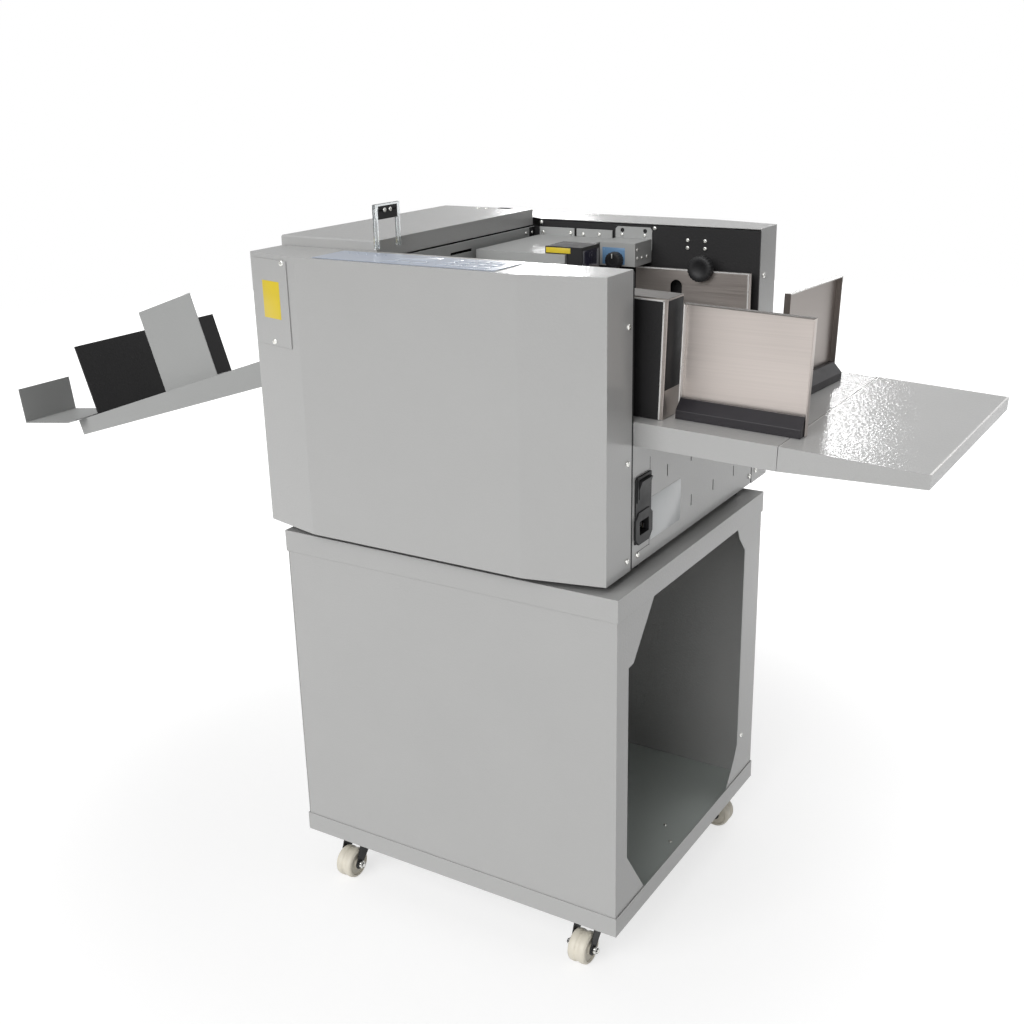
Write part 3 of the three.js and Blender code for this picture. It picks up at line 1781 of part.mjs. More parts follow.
// Delivery tray that falls away to the left, with its stops
function deliveryTray() {
  const tray = groupAt(machine, machineLeft - seat, trayFront, trayTop);
  tray.rotation.y = -traySlope * degree;
  const innerCut = -traySkirt * Math.tan(traySlope * degree);
  const railOutline = [
    [0, 0],
    [-trayLength, 0],
    [-trayLength, -trayEndSkirt],
    [innerCut, -traySkirt],
  ];
  const sheetCut = -sheet * Math.tan(traySlope * degree);
  const floorOutline = [
    [0, 0],
    [-trayLength, 0],
    [-trayLength, -sheet],
    [sheetCut, -sheet],
  ];
  const slots = [
    [traySlotInner, traySlotInnerLength],
    [traySlotOuter, traySlotOuterLength],
  ];
  let body = join(
    prismY(floorOutline, 0, trayWidth),
    prismY(railOutline, 0, sheet),
    prismY(railOutline, trayWidth - sheet, trayWidth),
    block(-trayLength, -trayLength + sheet, 0, trayWidth, -trayEndSkirt, 0),
  );
  for (const [start, length] of slots) {
    const x1 = -start;
    body = cut(body, block(x1 - length, x1, traySlotY, traySlotY + traySlotWidth, -overrun, overrun));
  }
  place('delivery_tray', body, panelGrey, tray);

  const stopX = -trayStopAt;
  const stop = join(
    block(
      stopX - framePlate,
      stopX,
      trayStopFront,
      trayStopFront + trayStopWidth,
      seat,
      trayStopHeight,
    ),
    block(
      stopX - trayStopFoot,
      stopX,
      trayStopFront,
      trayStopFront + trayStopWidth,
      seat,
      seat + sheet,
    ),
  );
  place('tray_stop', stop, blackPlate, tray);

  const flapX1 = -sideFlapInner;
  const flapX0 = flapX1 - sideFlapLength;
  const flap = join(
    block(flapX0, flapX1, sideFlapY, sideFlapY + sheet, seat, sideFlapHeight),
    block(flapX0, flapX1, sideFlapY, sideFlapY + sideFlapFoot, seat, seat + sheet),
  );
  place('tray_side_guide', flap, panelGrey, tray);

  const rise = endStopFootRise * degree;
  const lean = (traySlope - endStopLean) * degree;
  const lapEnd = -trayLength + endStopLap;
  const bend = [-trayLength - seat, seat];
  const toe = [bend[0] - endStopFoot * Math.cos(rise), bend[1] + endStopFoot * Math.sin(rise)];
  const lip = [toe[0] + endStopHeight * Math.sin(lean), toe[1] + endStopHeight * Math.cos(lean)];
  const stopOutline = [
    [lapEnd, seat],
    [lapEnd, seat + sheet],
    [bend[0], bend[1] + sheet],
    [toe[0] + sheet, toe[1] + sheet],
    [lip[0] + sheet, lip[1]],
    lip,
    toe,
    bend,
  ];
  const endStop = prismY(stopOutline, endStopFront, endStopFront + endStopWidth);
  place('tray_end_stop', endStop, panelGrey, tray);
}

// Wall beside the creasing head, seen under the lid's right edge
function unitWall() {
  const left = lidRight + 2 * sheet;
  const bottom = upperRollerZ + rollerRadius;
  const slotTop = lowFrameTop - wallSlotDrop;
  const wall = cut(
    block(left, left + sheet, insideFront, insideRear, bottom, lowFrameTop),
    block(
      left - overrun,
      left + sheet + overrun,
      wallSlotFront,
      wallSlotFront + wallSlotLength,
      slotTop - wallSlotHeight,
      slotTop,
    ),
  );
  place('unit_wall', wall, panelGrey);
}

cabinet();
castors();
basePan();
rightEndPanel();
powerEntry();
framePlates();
covers();
lid();
creasingHead();
transport();
place('paper_bed', paperBed(), stainless);
feedHead();
blower();
rearGuide();
feedTable();
deliveryTray();
unitWall();

// The origin moves to the floor under the middle of the whole machine
machine.updateMatrixWorld(true);
const reach = new THREE.Box3().setFromObject(machine, true);
machine.position.set(-(reach.min.x + reach.max.x) / 2, -(reach.min.y + reach.max.y) / 2, -reach.min.z);

const part = new THREE.Group();
part.add(machine);

export default part;
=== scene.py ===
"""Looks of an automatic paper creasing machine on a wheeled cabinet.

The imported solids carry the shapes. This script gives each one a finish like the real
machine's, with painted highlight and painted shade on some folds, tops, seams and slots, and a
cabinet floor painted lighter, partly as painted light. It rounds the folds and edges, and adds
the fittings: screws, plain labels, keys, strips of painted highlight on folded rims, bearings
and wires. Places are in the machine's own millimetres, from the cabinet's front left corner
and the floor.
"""
import json
import math

import bmesh
import bpy
from bpy.props import FloatProperty, FloatVectorProperty, IntProperty, PointerProperty
from mathutils import Matrix, Vector


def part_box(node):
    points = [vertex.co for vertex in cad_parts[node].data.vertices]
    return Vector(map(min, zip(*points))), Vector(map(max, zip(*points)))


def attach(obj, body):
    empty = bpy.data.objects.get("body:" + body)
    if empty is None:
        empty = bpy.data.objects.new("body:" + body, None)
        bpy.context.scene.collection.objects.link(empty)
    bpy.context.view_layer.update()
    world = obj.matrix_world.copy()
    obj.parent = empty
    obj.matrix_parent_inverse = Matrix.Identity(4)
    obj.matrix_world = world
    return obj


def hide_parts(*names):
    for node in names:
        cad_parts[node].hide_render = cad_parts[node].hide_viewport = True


bl_info = {
    "name": "Paper creasing machine",
    "version": (1, 0, 0),
    "blender": (4, 2, 0),
    "location": "3D View > Sidebar > Creaser",
    "description": "Finishes and fittings of a paper creasing machine",
    "category": "Object",
}

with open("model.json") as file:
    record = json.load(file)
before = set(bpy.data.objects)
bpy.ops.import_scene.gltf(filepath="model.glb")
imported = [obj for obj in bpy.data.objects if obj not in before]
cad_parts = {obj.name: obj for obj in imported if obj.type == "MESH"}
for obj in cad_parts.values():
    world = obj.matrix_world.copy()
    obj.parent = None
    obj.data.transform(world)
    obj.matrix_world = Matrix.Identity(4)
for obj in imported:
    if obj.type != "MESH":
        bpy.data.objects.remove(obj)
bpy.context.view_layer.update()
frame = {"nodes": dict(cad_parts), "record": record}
NODES = frame["nodes"]
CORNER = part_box("cabinet_top")[0]
BODY_OF = {node: body for body, nodes in frame["record"]["behaviour"]["bodies"].items()
           for node in nodes}
MM = 0.001
UP = Vector((0, 0, 1))
FRONT = Vector((0, -1, 0))
BACK = Vector((0, 1, 0))
RIGHT = Vector((1, 0, 0))
LEFT = Vector((-1, 0, 0))
DOWN = Vector((0, 0, -1))

# Drawn places: the upright machine, and the slopes of table, extension and tray
HOME = Matrix.Translation((CORNER.x, CORNER.y, 0))
TABLE = Matrix.Rotation(math.radians(1.9), 4, "Y")
LEAF = Matrix.Rotation(math.radians(2.85), 4, "Y")
TRAY = Matrix.Rotation(math.radians(-18.8), 4, "Y")

# Camera: its place, its turns in degrees and its lens in millimetres
CAMERA_SPOT = (1293.7, -1406.4, 1287.7)
CAMERA_HEADING, CAMERA_TILT, CAMERA_ROLL = 32.05, 19.24, 1.27
CAMERA_LENS, CAMERA_SENSOR, CAMERA_NEAR = 45.6, 36, 0.05

# Lamps: where each one shines from, its strength and its spread in degrees. The windows
# are narrow, and only light the glare on the covers' tops and on the feed table.
LAMPS = (
    ("key", (-0.08, -0.85, 0.5), 2.05, 50),
    ("overhead", (0.1, 0.3, 1.0), 0.7, 60),
    ("far window", (-0.5, 0.853, 0.148), 0.075, 3.6),
    ("near window", (-0.27, 0.915, 0.3), 0.055, 4),
)
ROOM_LIGHT = 0.22
WALLS_LOW, WALLS_HIGH, WALLS_CONTRAST, WALLS_SCALE = 0.35, 1.0, (0.35, 0.65), 1.6

# Floor, in metres: it glows white far from the machine and takes its shadow close by
FLOOR_RADIUS = 6
SHADOW_REACH, GLOW_REACH, GLOW_NEAR = 0.5, 1.7, 0.5
FLOOR_GLOW = 1.36

# Patterns: how far paint and brushed sheet drift in tone and how long a brushed line is,
# in metres, then the ripples of printed film and the haze of acrylic, per metre
DRIFT, LINE_LENGTH = 0.16, 0.2
RIPPLES, HAZE = 60.0, 40.0

# Edges: the angles between faces, in degrees, at covers' long folds and at sheet edges,
# and the shortest long fold in metres
FLAT, SHALLOW_FOLD, STEEP_FOLD, LONG_FOLD = 0.5, 8, 35, 0.06

# Fittings: the turn from one screw's slot to the next, in radians, the turn of the front
# cover's slanted face, in degrees, and the height and shortening of the blade's ends
SCREW_TWIST = 0.7
COVER_SLANT = -13.643
BLADE_TIP, BLADE_RELIEF = 2 * MM, 0.6 * MM


# Colours and places
def srgb(text):
    """A #rrggbb colour as linear red, green, blue and full opacity."""
    channels = [int(text[i:i + 2], 16) / 255 for i in (1, 3, 5)]
    linear = [c / 12.92 if c <= 0.04045 else ((c + 0.055) / 1.055) ** 2.4 for c in channels]
    return (*linear, 1.0)


def at(x, y, z):
    """A place in the machine's millimetres as a point of the frame in metres."""
    return Vector((x * MM + CORNER.x, y * MM + CORNER.y, z * MM))


def slope(x, y, z, degrees, axis):
    """The turned place that a sloping or slanted part of the machine is drawn in."""
    return Matrix.Translation(at(x, y, z)) @ Matrix.Rotation(math.radians(degrees), 4, axis)


def colour(label, text):
    """A colour that a user may change, from its sRGB hex value."""
    return FloatVectorProperty(name=label, description=f"Colour of the {label.lower()}",
                               subtype="COLOR", size=4, min=0, max=1, default=srgb(text))


def length(label, millimetres):
    """A length that a user may change, given in millimetres."""
    return FloatProperty(name=label, description=f"{label}, in metres", unit="LENGTH",
                         default=millimetres * MM, min=0.0001, max=3)


class CreaserColours(bpy.types.PropertyGroup):
    """Colours of the machine's finishes."""
    body: colour("Body powder coat", "#B2B2B1")
    panel: colour("Inner panels' satin paint", "#A5A6A5")
    black: colour("Black powder coat", "#0E0D0F")
    stainless: colour("Stainless sheet", "#BFB7B2")
    shaded_stainless: colour("Stainless tops' painted shade", "#6E6B68")
    bright: colour("Painted highlight on folds", "#F1F0EE")
    steel: colour("Ground steel", "#9A9C9F")
    zinc: colour("Zinc plating", "#E6E6E2")
    aluminium: colour("Turned aluminium", "#BBBDBE")
    moulding: colour("Black mouldings", "#121214")
    base: colour("Guide bases", "#221F24")
    rubber: colour("Rubber", "#262628")
    tread: colour("Castor tread", "#E0DACB")
    overlay: colour("Membrane overlay", "#AFB8C8")
    dial: colour("Dial plate", "#6E93B8")
    label: colour("Plain label", "#E3C92F")
    plate: colour("Bare rating plate", "#D9DCDD")
    window: colour("Display window", "#2B2A3C")
    key: colour("Membrane keys", "#BDC5D2")
    mark: colour("Pointer mark", "#D9D9D6")
    wire: colour("Wire sleeving", "#3A3A3E")
    shelf: colour("Cabinet shelf paint and painted light", "#C3CAC6")
    brass: colour("Contact pins", "#B9A97C")
    floor: colour("Studio floor", "#E6E6E6")


class CreaserSizes(bpy.types.PropertyGroup):
    """Sizes of the machine's fittings and of its surface patterns."""
    screw: length("Cover screw radius", 4.2)
    small_screw: length("Small screw radius", 3.3)
    tiny_screw: length("Control box screw radius", 2.7)
    fold: length("Radius on sheet edges", 0.6)
    bend: length("Radius of the covers' long folds", 4.0)
    grain: length("Powder coat grain", 3.0)
    brushing: length("Brushing line spacing", 1.8)
    moulded_grain: length("Moulded grain", 1.2)
    round_steps: IntProperty(name="Steps round a turned piece", default=48, min=12, max=96,
                             description="Faces round wheels, knobs and rollers")


def colours():
    """The colours that the user has set."""
    return bpy.context.scene.creaser_colours


def sizes():
    """The sizes that the user has set."""
    return bpy.context.scene.creaser_sizes


# Finishes
def add(tree, kind, values=None, links=None, **settings):
    """Adds a node with its settings, its sockets' values and the links into it."""
    made = tree.nodes.new("ShaderNode" + kind)
    for name, value in settings.items():
        setattr(made, name, value)
    for socket, value in (values or {}).items():
        made.inputs[socket].default_value = value
    for socket, source in (links or {}).items():
        tree.links.new(source, made.inputs[socket])
    return made


def blank(name):
    """A material with an empty node tree, its shader and its object coordinates."""
    made = bpy.data.materials.new(name)
    made.use_nodes = True
    tree = made.node_tree
    tree.nodes.clear()
    place = add(tree, "TexCoord").outputs["Object"]
    shader = add(tree, "BsdfPrincipled")
    add(tree, "OutputMaterial", links={"Surface": shader.outputs["BSDF"]})
    return made, tree, place, shader


def shade(values, factor):
    """A colour made lighter or darker by a factor."""
    return (*[min(1.0, v * factor) for v in values[:3]], 1.0)


def mottle(tree, place, shader, tint, spread, patch):
    """Colour that drifts a little over patches of the surface, as paint and metal do."""
    cloud = add(tree, "TexNoise", {"Scale": 1 / patch, "Detail": 3, "Roughness": 0.6},
                {"Vector": place})
    tint_ramp(tree, cloud.outputs["Fac"], shader, tint, spread)
    return cloud


def tint_ramp(tree, source, shader, tint, spread):
    """A colour that a pattern makes a little darker and lighter."""
    ramp = add(tree, "ValToRGB", links={"Fac": source})
    ramp.color_ramp.elements[0].position = 0.3
    ramp.color_ramp.elements[0].color = shade(tint, 1 - spread)
    ramp.color_ramp.elements[1].position = 0.7
    ramp.color_ramp.elements[1].color = shade(tint, 1 + spread)
    tree.links.new(ramp.outputs["Color"], shader.inputs["Base Color"])


def spread_roughness(tree, source, shader, low, high):
    """Roughness that runs from low to high with a pattern."""
    span = add(tree, "MapRange", {"From Min": 0.3, "From Max": 0.7, "To Min": low, "To Max": high},
               {"Value": source})
    tree.links.new(span.outputs["Result"], shader.inputs["Roughness"])


def powder_coat(name, tint, grain, height, rough, gloss):
    """Baked powder coat on steel sheet: a soft satin with orange peel, which glitters
    where light grazes it. The peel is about 1 mm across and drawn at 3 mm to show."""
    made, tree, place, shader = blank(name)
    cloud = mottle(tree, place, shader, tint, 0.015, DRIFT)
    spread_roughness(tree, cloud.outputs["Fac"], shader, rough - 0.04, rough + 0.05)
    peel = add(tree, "TexNoise", {"Scale": 1 / grain, "Detail": 2, "Roughness": 0.55},
               {"Vector": place})
    bump = add(tree, "Bump", {"Strength": 0.35, "Distance": height},
               {"Height": peel.outputs["Fac"]})
    tree.links.new(bump.outputs["Normal"], shader.inputs["Normal"])
    glitter = add(tree, "TexNoise", {"Scale": 0.7 / grain, "Detail": 1}, {"Vector": place})
    crest = add(tree, "Bump", {"Strength": 0.4, "Distance": height},
                {"Height": glitter.outputs["Fac"]})
    tree.links.new(crest.outputs["Normal"], shader.inputs["Coat Normal"])
    shader.inputs["IOR"].default_value = 1.5
    shader.inputs["Coat Weight"].default_value = gloss
    shader.inputs["Coat Roughness"].default_value = 0.07
    return made


def brushed(name, tint, direction, rough, depth=0.00004):
    """Sheet or bar brushed along one axis: long fine lines that stretch reflections
    across them, with faint clouds where the belt pressed harder. The belt's lines are
    about 0.1 mm apart and drawn at 1.8 mm to show."""
    made, tree, place, shader = blank(name)
    fine = 1 / sizes().brushing
    scale = [fine, fine, fine]
    scale[direction] = 1 / LINE_LENGTH
    turned = add(tree, "Mapping", {"Scale": scale}, {"Vector": place})
    lines = add(tree, "TexNoise", {"Scale": 1.0, "Detail": 4, "Roughness": 0.7},
                {"Vector": turned.outputs["Vector"]})
    cloud = add(tree, "TexNoise", {"Scale": 1 / DRIFT, "Detail": 1}, {"Vector": place})
    half = add(tree, "Math", {1: 0.5}, {0: cloud.outputs["Fac"]}, operation="MULTIPLY")
    total = add(tree, "Math", {1: 0.5}, {0: lines.outputs["Fac"], 2: half.outputs["Value"]},
                operation="MULTIPLY_ADD")
    tint_ramp(tree, total.outputs["Value"], shader, tint, 0.1)
    spread_roughness(tree, total.outputs["Value"], shader, rough - 0.1, rough + 0.12)
    bump = add(tree, "Bump", {"Strength": 0.3, "Distance": depth},
               {"Height": lines.outputs["Fac"]})
    tree.links.new(bump.outputs["Normal"], shader.inputs["Normal"])
    shader.inputs["Metallic"].default_value = 1.0
    return made


def moulded(name, tint, grain, height, rough):
    """Injection-moulded ABS or nylon: a spark-eroded grain that keeps it matt. The grain
    is about 0.3 mm and drawn at 1.2 mm to show."""
    made, tree, place, shader = blank(name)
    cloud = mottle(tree, place, shader, tint, 0.06, 0.03)
    spread_roughness(tree, cloud.outputs["Fac"], shader, rough - 0.05, rough + 0.07)
    grit = add(tree, "TexVoronoi", {"Scale": 1 / grain}, {"Vector": place})
    bump = add(tree, "Bump", {"Strength": 0.25, "Distance": height},
               {"Height": grit.outputs["Distance"]})
    tree.links.new(bump.outputs["Normal"], shader.inputs["Normal"])
    shader.inputs["IOR"].default_value = 1.5
    return made


def plated(name, tint, metal=1.0, patch=0.004):
    """Zinc-plated metal, and the near-white painted highlight on folds: bright, with cloudy
    patches, small on hardware and wide on the painted highlight."""
    made, tree, place, shader = blank(name)
    cloud = mottle(tree, place, shader, tint, 0.06, patch)
    spread_roughness(tree, cloud.outputs["Fac"], shader, 0.2, 0.34)
    shader.inputs["Metallic"].default_value = metal
    return made


def printed_film(name, tint, rough, coat):
    """Polyester film or label stock: an even colour under a smooth clear face."""
    made, tree, place, shader = blank(name)
    cloud = mottle(tree, place, shader, tint, 0.02, 0.02)
    spread_roughness(tree, cloud.outputs["Fac"], shader, rough - 0.03, rough + 0.05)
    ripple = add(tree, "TexNoise", {"Scale": RIPPLES, "Detail": 1}, {"Vector": place})
    bump = add(tree, "Bump", {"Strength": 0.15, "Distance": 0.0004},
               {"Height": ripple.outputs["Fac"]})
    tree.links.new(bump.outputs["Normal"], shader.inputs["Normal"])
    shader.inputs["Coat Weight"].default_value = coat
    shader.inputs["Coat Roughness"].default_value = 0.12
    shader.inputs["IOR"].default_value = 1.55
    return made


def cast_acrylic(name):
    """Polished clear acrylic sheet, slightly hazed by handling."""
    made, tree, place, shader = blank(name)
    haze = add(tree, "TexNoise", {"Scale": HAZE, "Detail": 3}, {"Vector": place})
    spread_roughness(tree, haze.outputs["Fac"], shader, 0.02, 0.09)
    shader.inputs["Base Color"].default_value = srgb("#F1F5F6")
    shader.inputs["Transmission Weight"].default_value = 0.92
    shader.inputs["IOR"].default_value = 1.49
    return made


FINISHES = {}


def finishes():
    """The machine's finishes by name, made once and shared."""
    if FINISHES:
        return FINISHES
    c, s = colours(), sizes()
    FINISHES.update({
        "body": powder_coat("powder coat light grey", c.body, s.grain, 0.0009, 0.46, 0.5),
        "panel": powder_coat("satin paint grey", c.panel, s.grain, 0.0005, 0.5, 0.04),
        "black": powder_coat("powder coat black", c.black, s.grain, 0.0007, 0.6, 0.0),
        # Grey green and lighter than the body paint: partly the floor's own paint, partly painted
        # light inside the cabinet
        "shelf": powder_coat("shelf paint grey green and painted light", c.shelf, s.grain, 0.0005, 0.5, 0.1),
        "stainless": brushed("stainless brushed across", c.stainless, 0, 0.34),
        # The stainless darkened: painted shade on the guides' tops
        "shaded_stainless": brushed("stainless tops painted shade", c.shaded_stainless, 0, 0.5),
        # Near-white and mostly diffuse: a painted highlight for folds and edges
        "bright": plated("stainless fold painted highlight", c.bright, 0.35, 0.08),
        # The stainless darkened to 0.62 for the tail stop plate: painted shade
        "stainless_up_shaded": brushed("stainless brushed along y painted shade", shade(c.stainless, 0.62), 1, 0.36),
        "steel": brushed("ground tool steel", c.steel, 1, 0.28),
        "aluminium": brushed("turned aluminium", c.aluminium, 1, 0.36),
        "zinc": plated("zinc plated hardware", c.zinc),
        "moulding": moulded("abs black", c.moulding, s.moulded_grain, 0.0002, 0.55),
        "base": moulded("anodised base black", c.base, s.moulded_grain, 0.0001, 0.38),
        "rubber": moulded("rubber black", c.rubber, s.moulded_grain, 0.0003, 0.8),
        "tread": moulded("nylon cream", c.tread, s.moulded_grain, 0.0001, 0.42),
        "overlay": printed_film("membrane overlay", c.overlay, 0.34, 0.15),
        "dial": printed_film("dial plate blue", c.dial, 0.25, 0.4),
        "label": printed_film("plain yellow label", c.label, 0.4, 0.1),
        "plate": printed_film("bare foil plate", c.plate, 0.35, 0.2),
        "window": printed_film("display window smoked", c.window, 0.1, 0.8),
        "key": printed_film("membrane keys", c.key, 0.34, 0.2),
        "mark": printed_film("pointer mark paint", c.mark, 0.5, 0.0),
        "wire": moulded("pvc wire sleeving", c.wire, s.moulded_grain, 0.0001, 0.5),
        "brass": plated("contact pins nickel brass", c.brass),
        "acrylic": cast_acrylic("acrylic clear"),
    })
    return FINISHES


NODE_FINISH = {
    "body": ["cabinet_top", "cabinet_base", "cabinet_front_panel", "cabinet_rear_panel",
             "cabinet_left_panel", "base_pan", "right_end_panel", "front_cover", "rear_cover",
             "access_panel", "lid", "feed_table", "table_extension"],
    "panel": ["unit_wall", "feed_head", "control_box", "delivery_tray", "tray_side_guide",
              "tray_end_stop"],
    "black": ["front_frame_plate", "rear_frame_plate", "inner_guide_face", "tray_stop",
              "crease_motor", "feed_motor"],
    "moulding": ["power_inlet", "power_switch", "display_box", "speed_knob", "clamp_knob",
                 "handle_block", "blower", "castor_fork_front_left", "castor_fork_front_right",
                 "castor_fork_rear_left", "castor_fork_rear_right"],
    "base": ["side_guide_base", "tail_stop_base"],
    "stainless": ["paper_bed", "rear_guide", "inner_guide", "side_guide_plate"],
    "stainless_up_shaded": ["tail_stop_plate"],
    "steel": ["crease_anvil", "blade_beam", "cam_shaft", "cam_pinion"],
    "aluminium": ["feed_rotor", "motor_pulley"],
    "rubber": ["infeed_lower_roller", "infeed_upper_roller", "outfeed_lower_roller",
               "outfeed_upper_roller", "drive_belt"],
    "tread": ["castor_wheel_front_left", "castor_wheel_front_right", "castor_wheel_rear_left",
              "castor_wheel_rear_right"],
    "acrylic": ["lid_handle"],
    "overlay": ["control_panel"],
}

# The pieces that have their folds and cut edges rounded
SOFT = ["cabinet_top", "cabinet_base", "cabinet_front_panel", "cabinet_rear_panel",
        "cabinet_left_panel", "base_pan", "right_end_panel", "front_cover", "rear_cover",
        "access_panel", "lid", "feed_table", "table_extension", "unit_wall", "feed_head",
        "control_box", "delivery_tray", "tray_side_guide", "tray_stop",
        "display_box", "rear_guide", "inner_guide", "inner_guide_face", "side_guide_plate",
        "tail_stop_plate", "side_guide_base", "tail_stop_base", "power_inlet", "power_switch",
        "handle_block", "lid_handle", "blower", "feed_motor", "crease_motor",
        "castor_fork_front_left", "castor_fork_front_right", "castor_fork_rear_left",
        "castor_fork_rear_right"]


# Pieces
def piece(name, form, finish, body):
    """A bmesh as a finished piece that rides on a body."""
    mesh = bpy.data.meshes.new(name)
    form.to_mesh(mesh)
    form.free()
    made = bpy.data.objects.new(name, mesh)
    bpy.context.scene.collection.objects.link(made)
    mesh.materials.append(finishes()[finish])
    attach(made, body)
    return made


def toward(direction):
    """A turn that carries +Z to a direction, with no twist about it."""
    return direction.to_track_quat("Z", "Y").to_matrix().to_4x4()


def add_block(form, low, high, edge=0.0, steps=2, where=HOME):
    """A box between two places in millimetres of a drawn place, with rounded edges."""
    a, b = Vector(low) * MM, Vector(high) * MM
    move = where @ Matrix.Translation((a + b) / 2) @ Matrix.Diagonal((*(b - a), 1))
    made = bmesh.ops.create_cube(form, size=1, matrix=move)["verts"]
    if edge:
        round_off(form, made, edge * MM, steps)
    return made


def block_piece(name, low, high, edge, finish, body="machine", where=HOME):
    """One rounded box as a piece of its own."""
    form = bmesh.new()
    add_block(form, low, high, edge, 2, where)
    return crease(piece(name, form, finish, body))


def local_box(node, where):
    """The low and high corners of a CAD node in the millimetres of a drawn place."""
    back = where.inverted()
    spots = [back @ v.co / MM for v in NODES[node].data.vertices]
    return (Vector([min(p[i] for p in spots) for i in range(3)]),
            Vector([max(p[i] for p in spots) for i in range(3)]))


def add_tube(form, path, radius, steps=10):
    """A wire through places in millimetres, bent smoothly between them."""
    points = [at(*p) for p in path]
    line = []
    for i in range(len(points) - 1):
        a, b = points[i], points[i + 1]
        back = points[i - 1] if i else a
        ahead = points[i + 2] if i + 2 < len(points) else b
        for k in range(6):
            t = k / 6
            line.append(0.5 * ((2 * a) + (b - back) * t + (2 * back - 5 * a + 4 * b - ahead) * t * t
                               + (3 * a - back - 3 * b + ahead) * t ** 3))
    line.append(points[-1])
    rings = []
    for i, spot in enumerate(line):
        along = (line[min(i + 1, len(line) - 1)] - line[max(i - 1, 0)]).normalized()
        turn = Matrix.Translation(spot) @ toward(along)
        rings.append(bmesh.ops.create_circle(form, segments=steps, radius=radius * MM,
                                             matrix=turn)["verts"])
    for low, high in zip(rings, rings[1:]):
        for i in range(steps):
            j = (i + 1) % steps
            form.faces.new((low[i], low[j], high[j], high[i]))
    form.faces.new(list(reversed(rings[0])))
    form.faces.new(rings[-1])


def round_off(form, verts, width, steps, sharp=30):
    """Rounds the sharp edges among some vertices."""
    mine = set(verts)
    edges = [e for e in form.edges if mine.issuperset(e.verts)
             and len(e.link_faces) == 2 and e.calc_face_angle(0) > math.radians(sharp)]
    bmesh.ops.bevel(form, geom=edges, offset=width, offset_type="OFFSET", affect="EDGES",
                    segments=steps, profile=0.5, material=-1, clamp_overlap=True)


def add_turned(form, profile, centre, axis, steps=None):
    """A turned solid: a profile of (radius, height) in millimetres spun about an axis
    through a place. The profile starts and ends on the axis or is a closed ring."""
    whole = steps or sizes().round_steps
    points = [form.verts.new((r * MM, 0, h * MM)) for r, h in profile]
    edges = [form.edges.new(pair) for pair in zip(points, points[1:])]
    if profile[0][0] > 0:
        edges.append(form.edges.new((points[-1], points[0])))
    spun = bmesh.ops.spin(form, geom=points + edges, cent=(0, 0, 0), axis=(0, 0, 1),
                          angle=2 * math.pi, steps=whole, use_merge=True)
    verts = set(points) | {g for g in spun["geom_last"] if isinstance(g, bmesh.types.BMVert)}
    reach = list(verts)
    while reach:
        for edge in reach.pop().link_edges:
            for vert in edge.verts:
                if vert not in verts:
                    verts.add(vert)
                    reach.append(vert)
    mine = list(verts)
    bmesh.ops.remove_doubles(form, verts=mine, dist=1e-7)
    mine = [v for v in mine if v.is_valid]
    faces = list({f for v in mine for f in v.link_faces})
    bmesh.ops.recalc_face_normals(form, faces=faces)
    bmesh.ops.transform(form, matrix=Matrix.Translation(at(*centre)) @ toward(axis), verts=mine)
    for face in faces:
        face.smooth = True
    return mine


def crease(made, angle=32):
    """Smooth shading that breaks at the piece's sharp edges."""
    for polygon in made.data.polygons:
        polygon.use_smooth = True
    made.data.set_sharp_from_angle(angle=math.radians(angle))
    return made


def land(node, start, direction):
    """Where a line from a place in millimetres first meets a CAD node."""
    hit, point, _, _ = NODES[node].ray_cast(at(*start), direction)
    if not hit:
        raise RuntimeError(f"nothing of {node} lies along the line from {start}")
    return point


def screw_head(radius, steps=20):
    """A pan-head screw with a cross recess, standing on the ground plane."""
    form = bmesh.new()
    rise, slot, reach, sink = radius * 0.55, radius * 0.14, radius * 0.52, radius * 0.3
    bmesh.ops.create_cone(form, cap_ends=True, segments=steps, radius1=radius, radius2=radius,
                          depth=rise, matrix=Matrix.Translation((0, 0, rise / 2)))
    upper = [e for e in form.edges if all(v.co.z > rise * 0.9 for v in e.verts)]
    bmesh.ops.bevel(form, geom=upper, offset=rise * 0.7, offset_type="OFFSET", affect="EDGES",
                    segments=3, profile=0.5, material=-1)
    top = max(f.calc_center_median().z for f in form.faces)
    for normal in (Vector((1, 0, 0)), Vector((0, 1, 0))):
        for offset in (-reach, -slot, slot, reach):
            cap = [f for f in form.faces if f.calc_center_median().z > top - 1e-6]
            geometry = cap + list({e for f in cap for e in f.edges})
            geometry += list({v for f in cap for v in f.verts})
            bmesh.ops.bisect_plane(form, geom=geometry, dist=1e-7, plane_co=normal * offset,
                                   plane_no=normal)
    cross = []
    for face in form.faces:
        middle = face.calc_center_median()
        if middle.z < top - 1e-6:
            continue
        x, y = abs(middle.x), abs(middle.y)
        if (x < slot and y < reach) or (y < slot and x < reach):
            cross.append(face)
    sunk = [g for g in bmesh.ops.extrude_face_region(form, geom=cross)["geom"]
            if isinstance(g, bmesh.types.BMVert)]
    bmesh.ops.translate(form, vec=(0, 0, -sink), verts=sunk)
    bmesh.ops.delete(form, geom=[f for f in cross if f.is_valid], context="FACES_ONLY")
    mesh = bpy.data.meshes.new("screw_pattern")
    form.to_mesh(mesh)
    form.free()
    return mesh


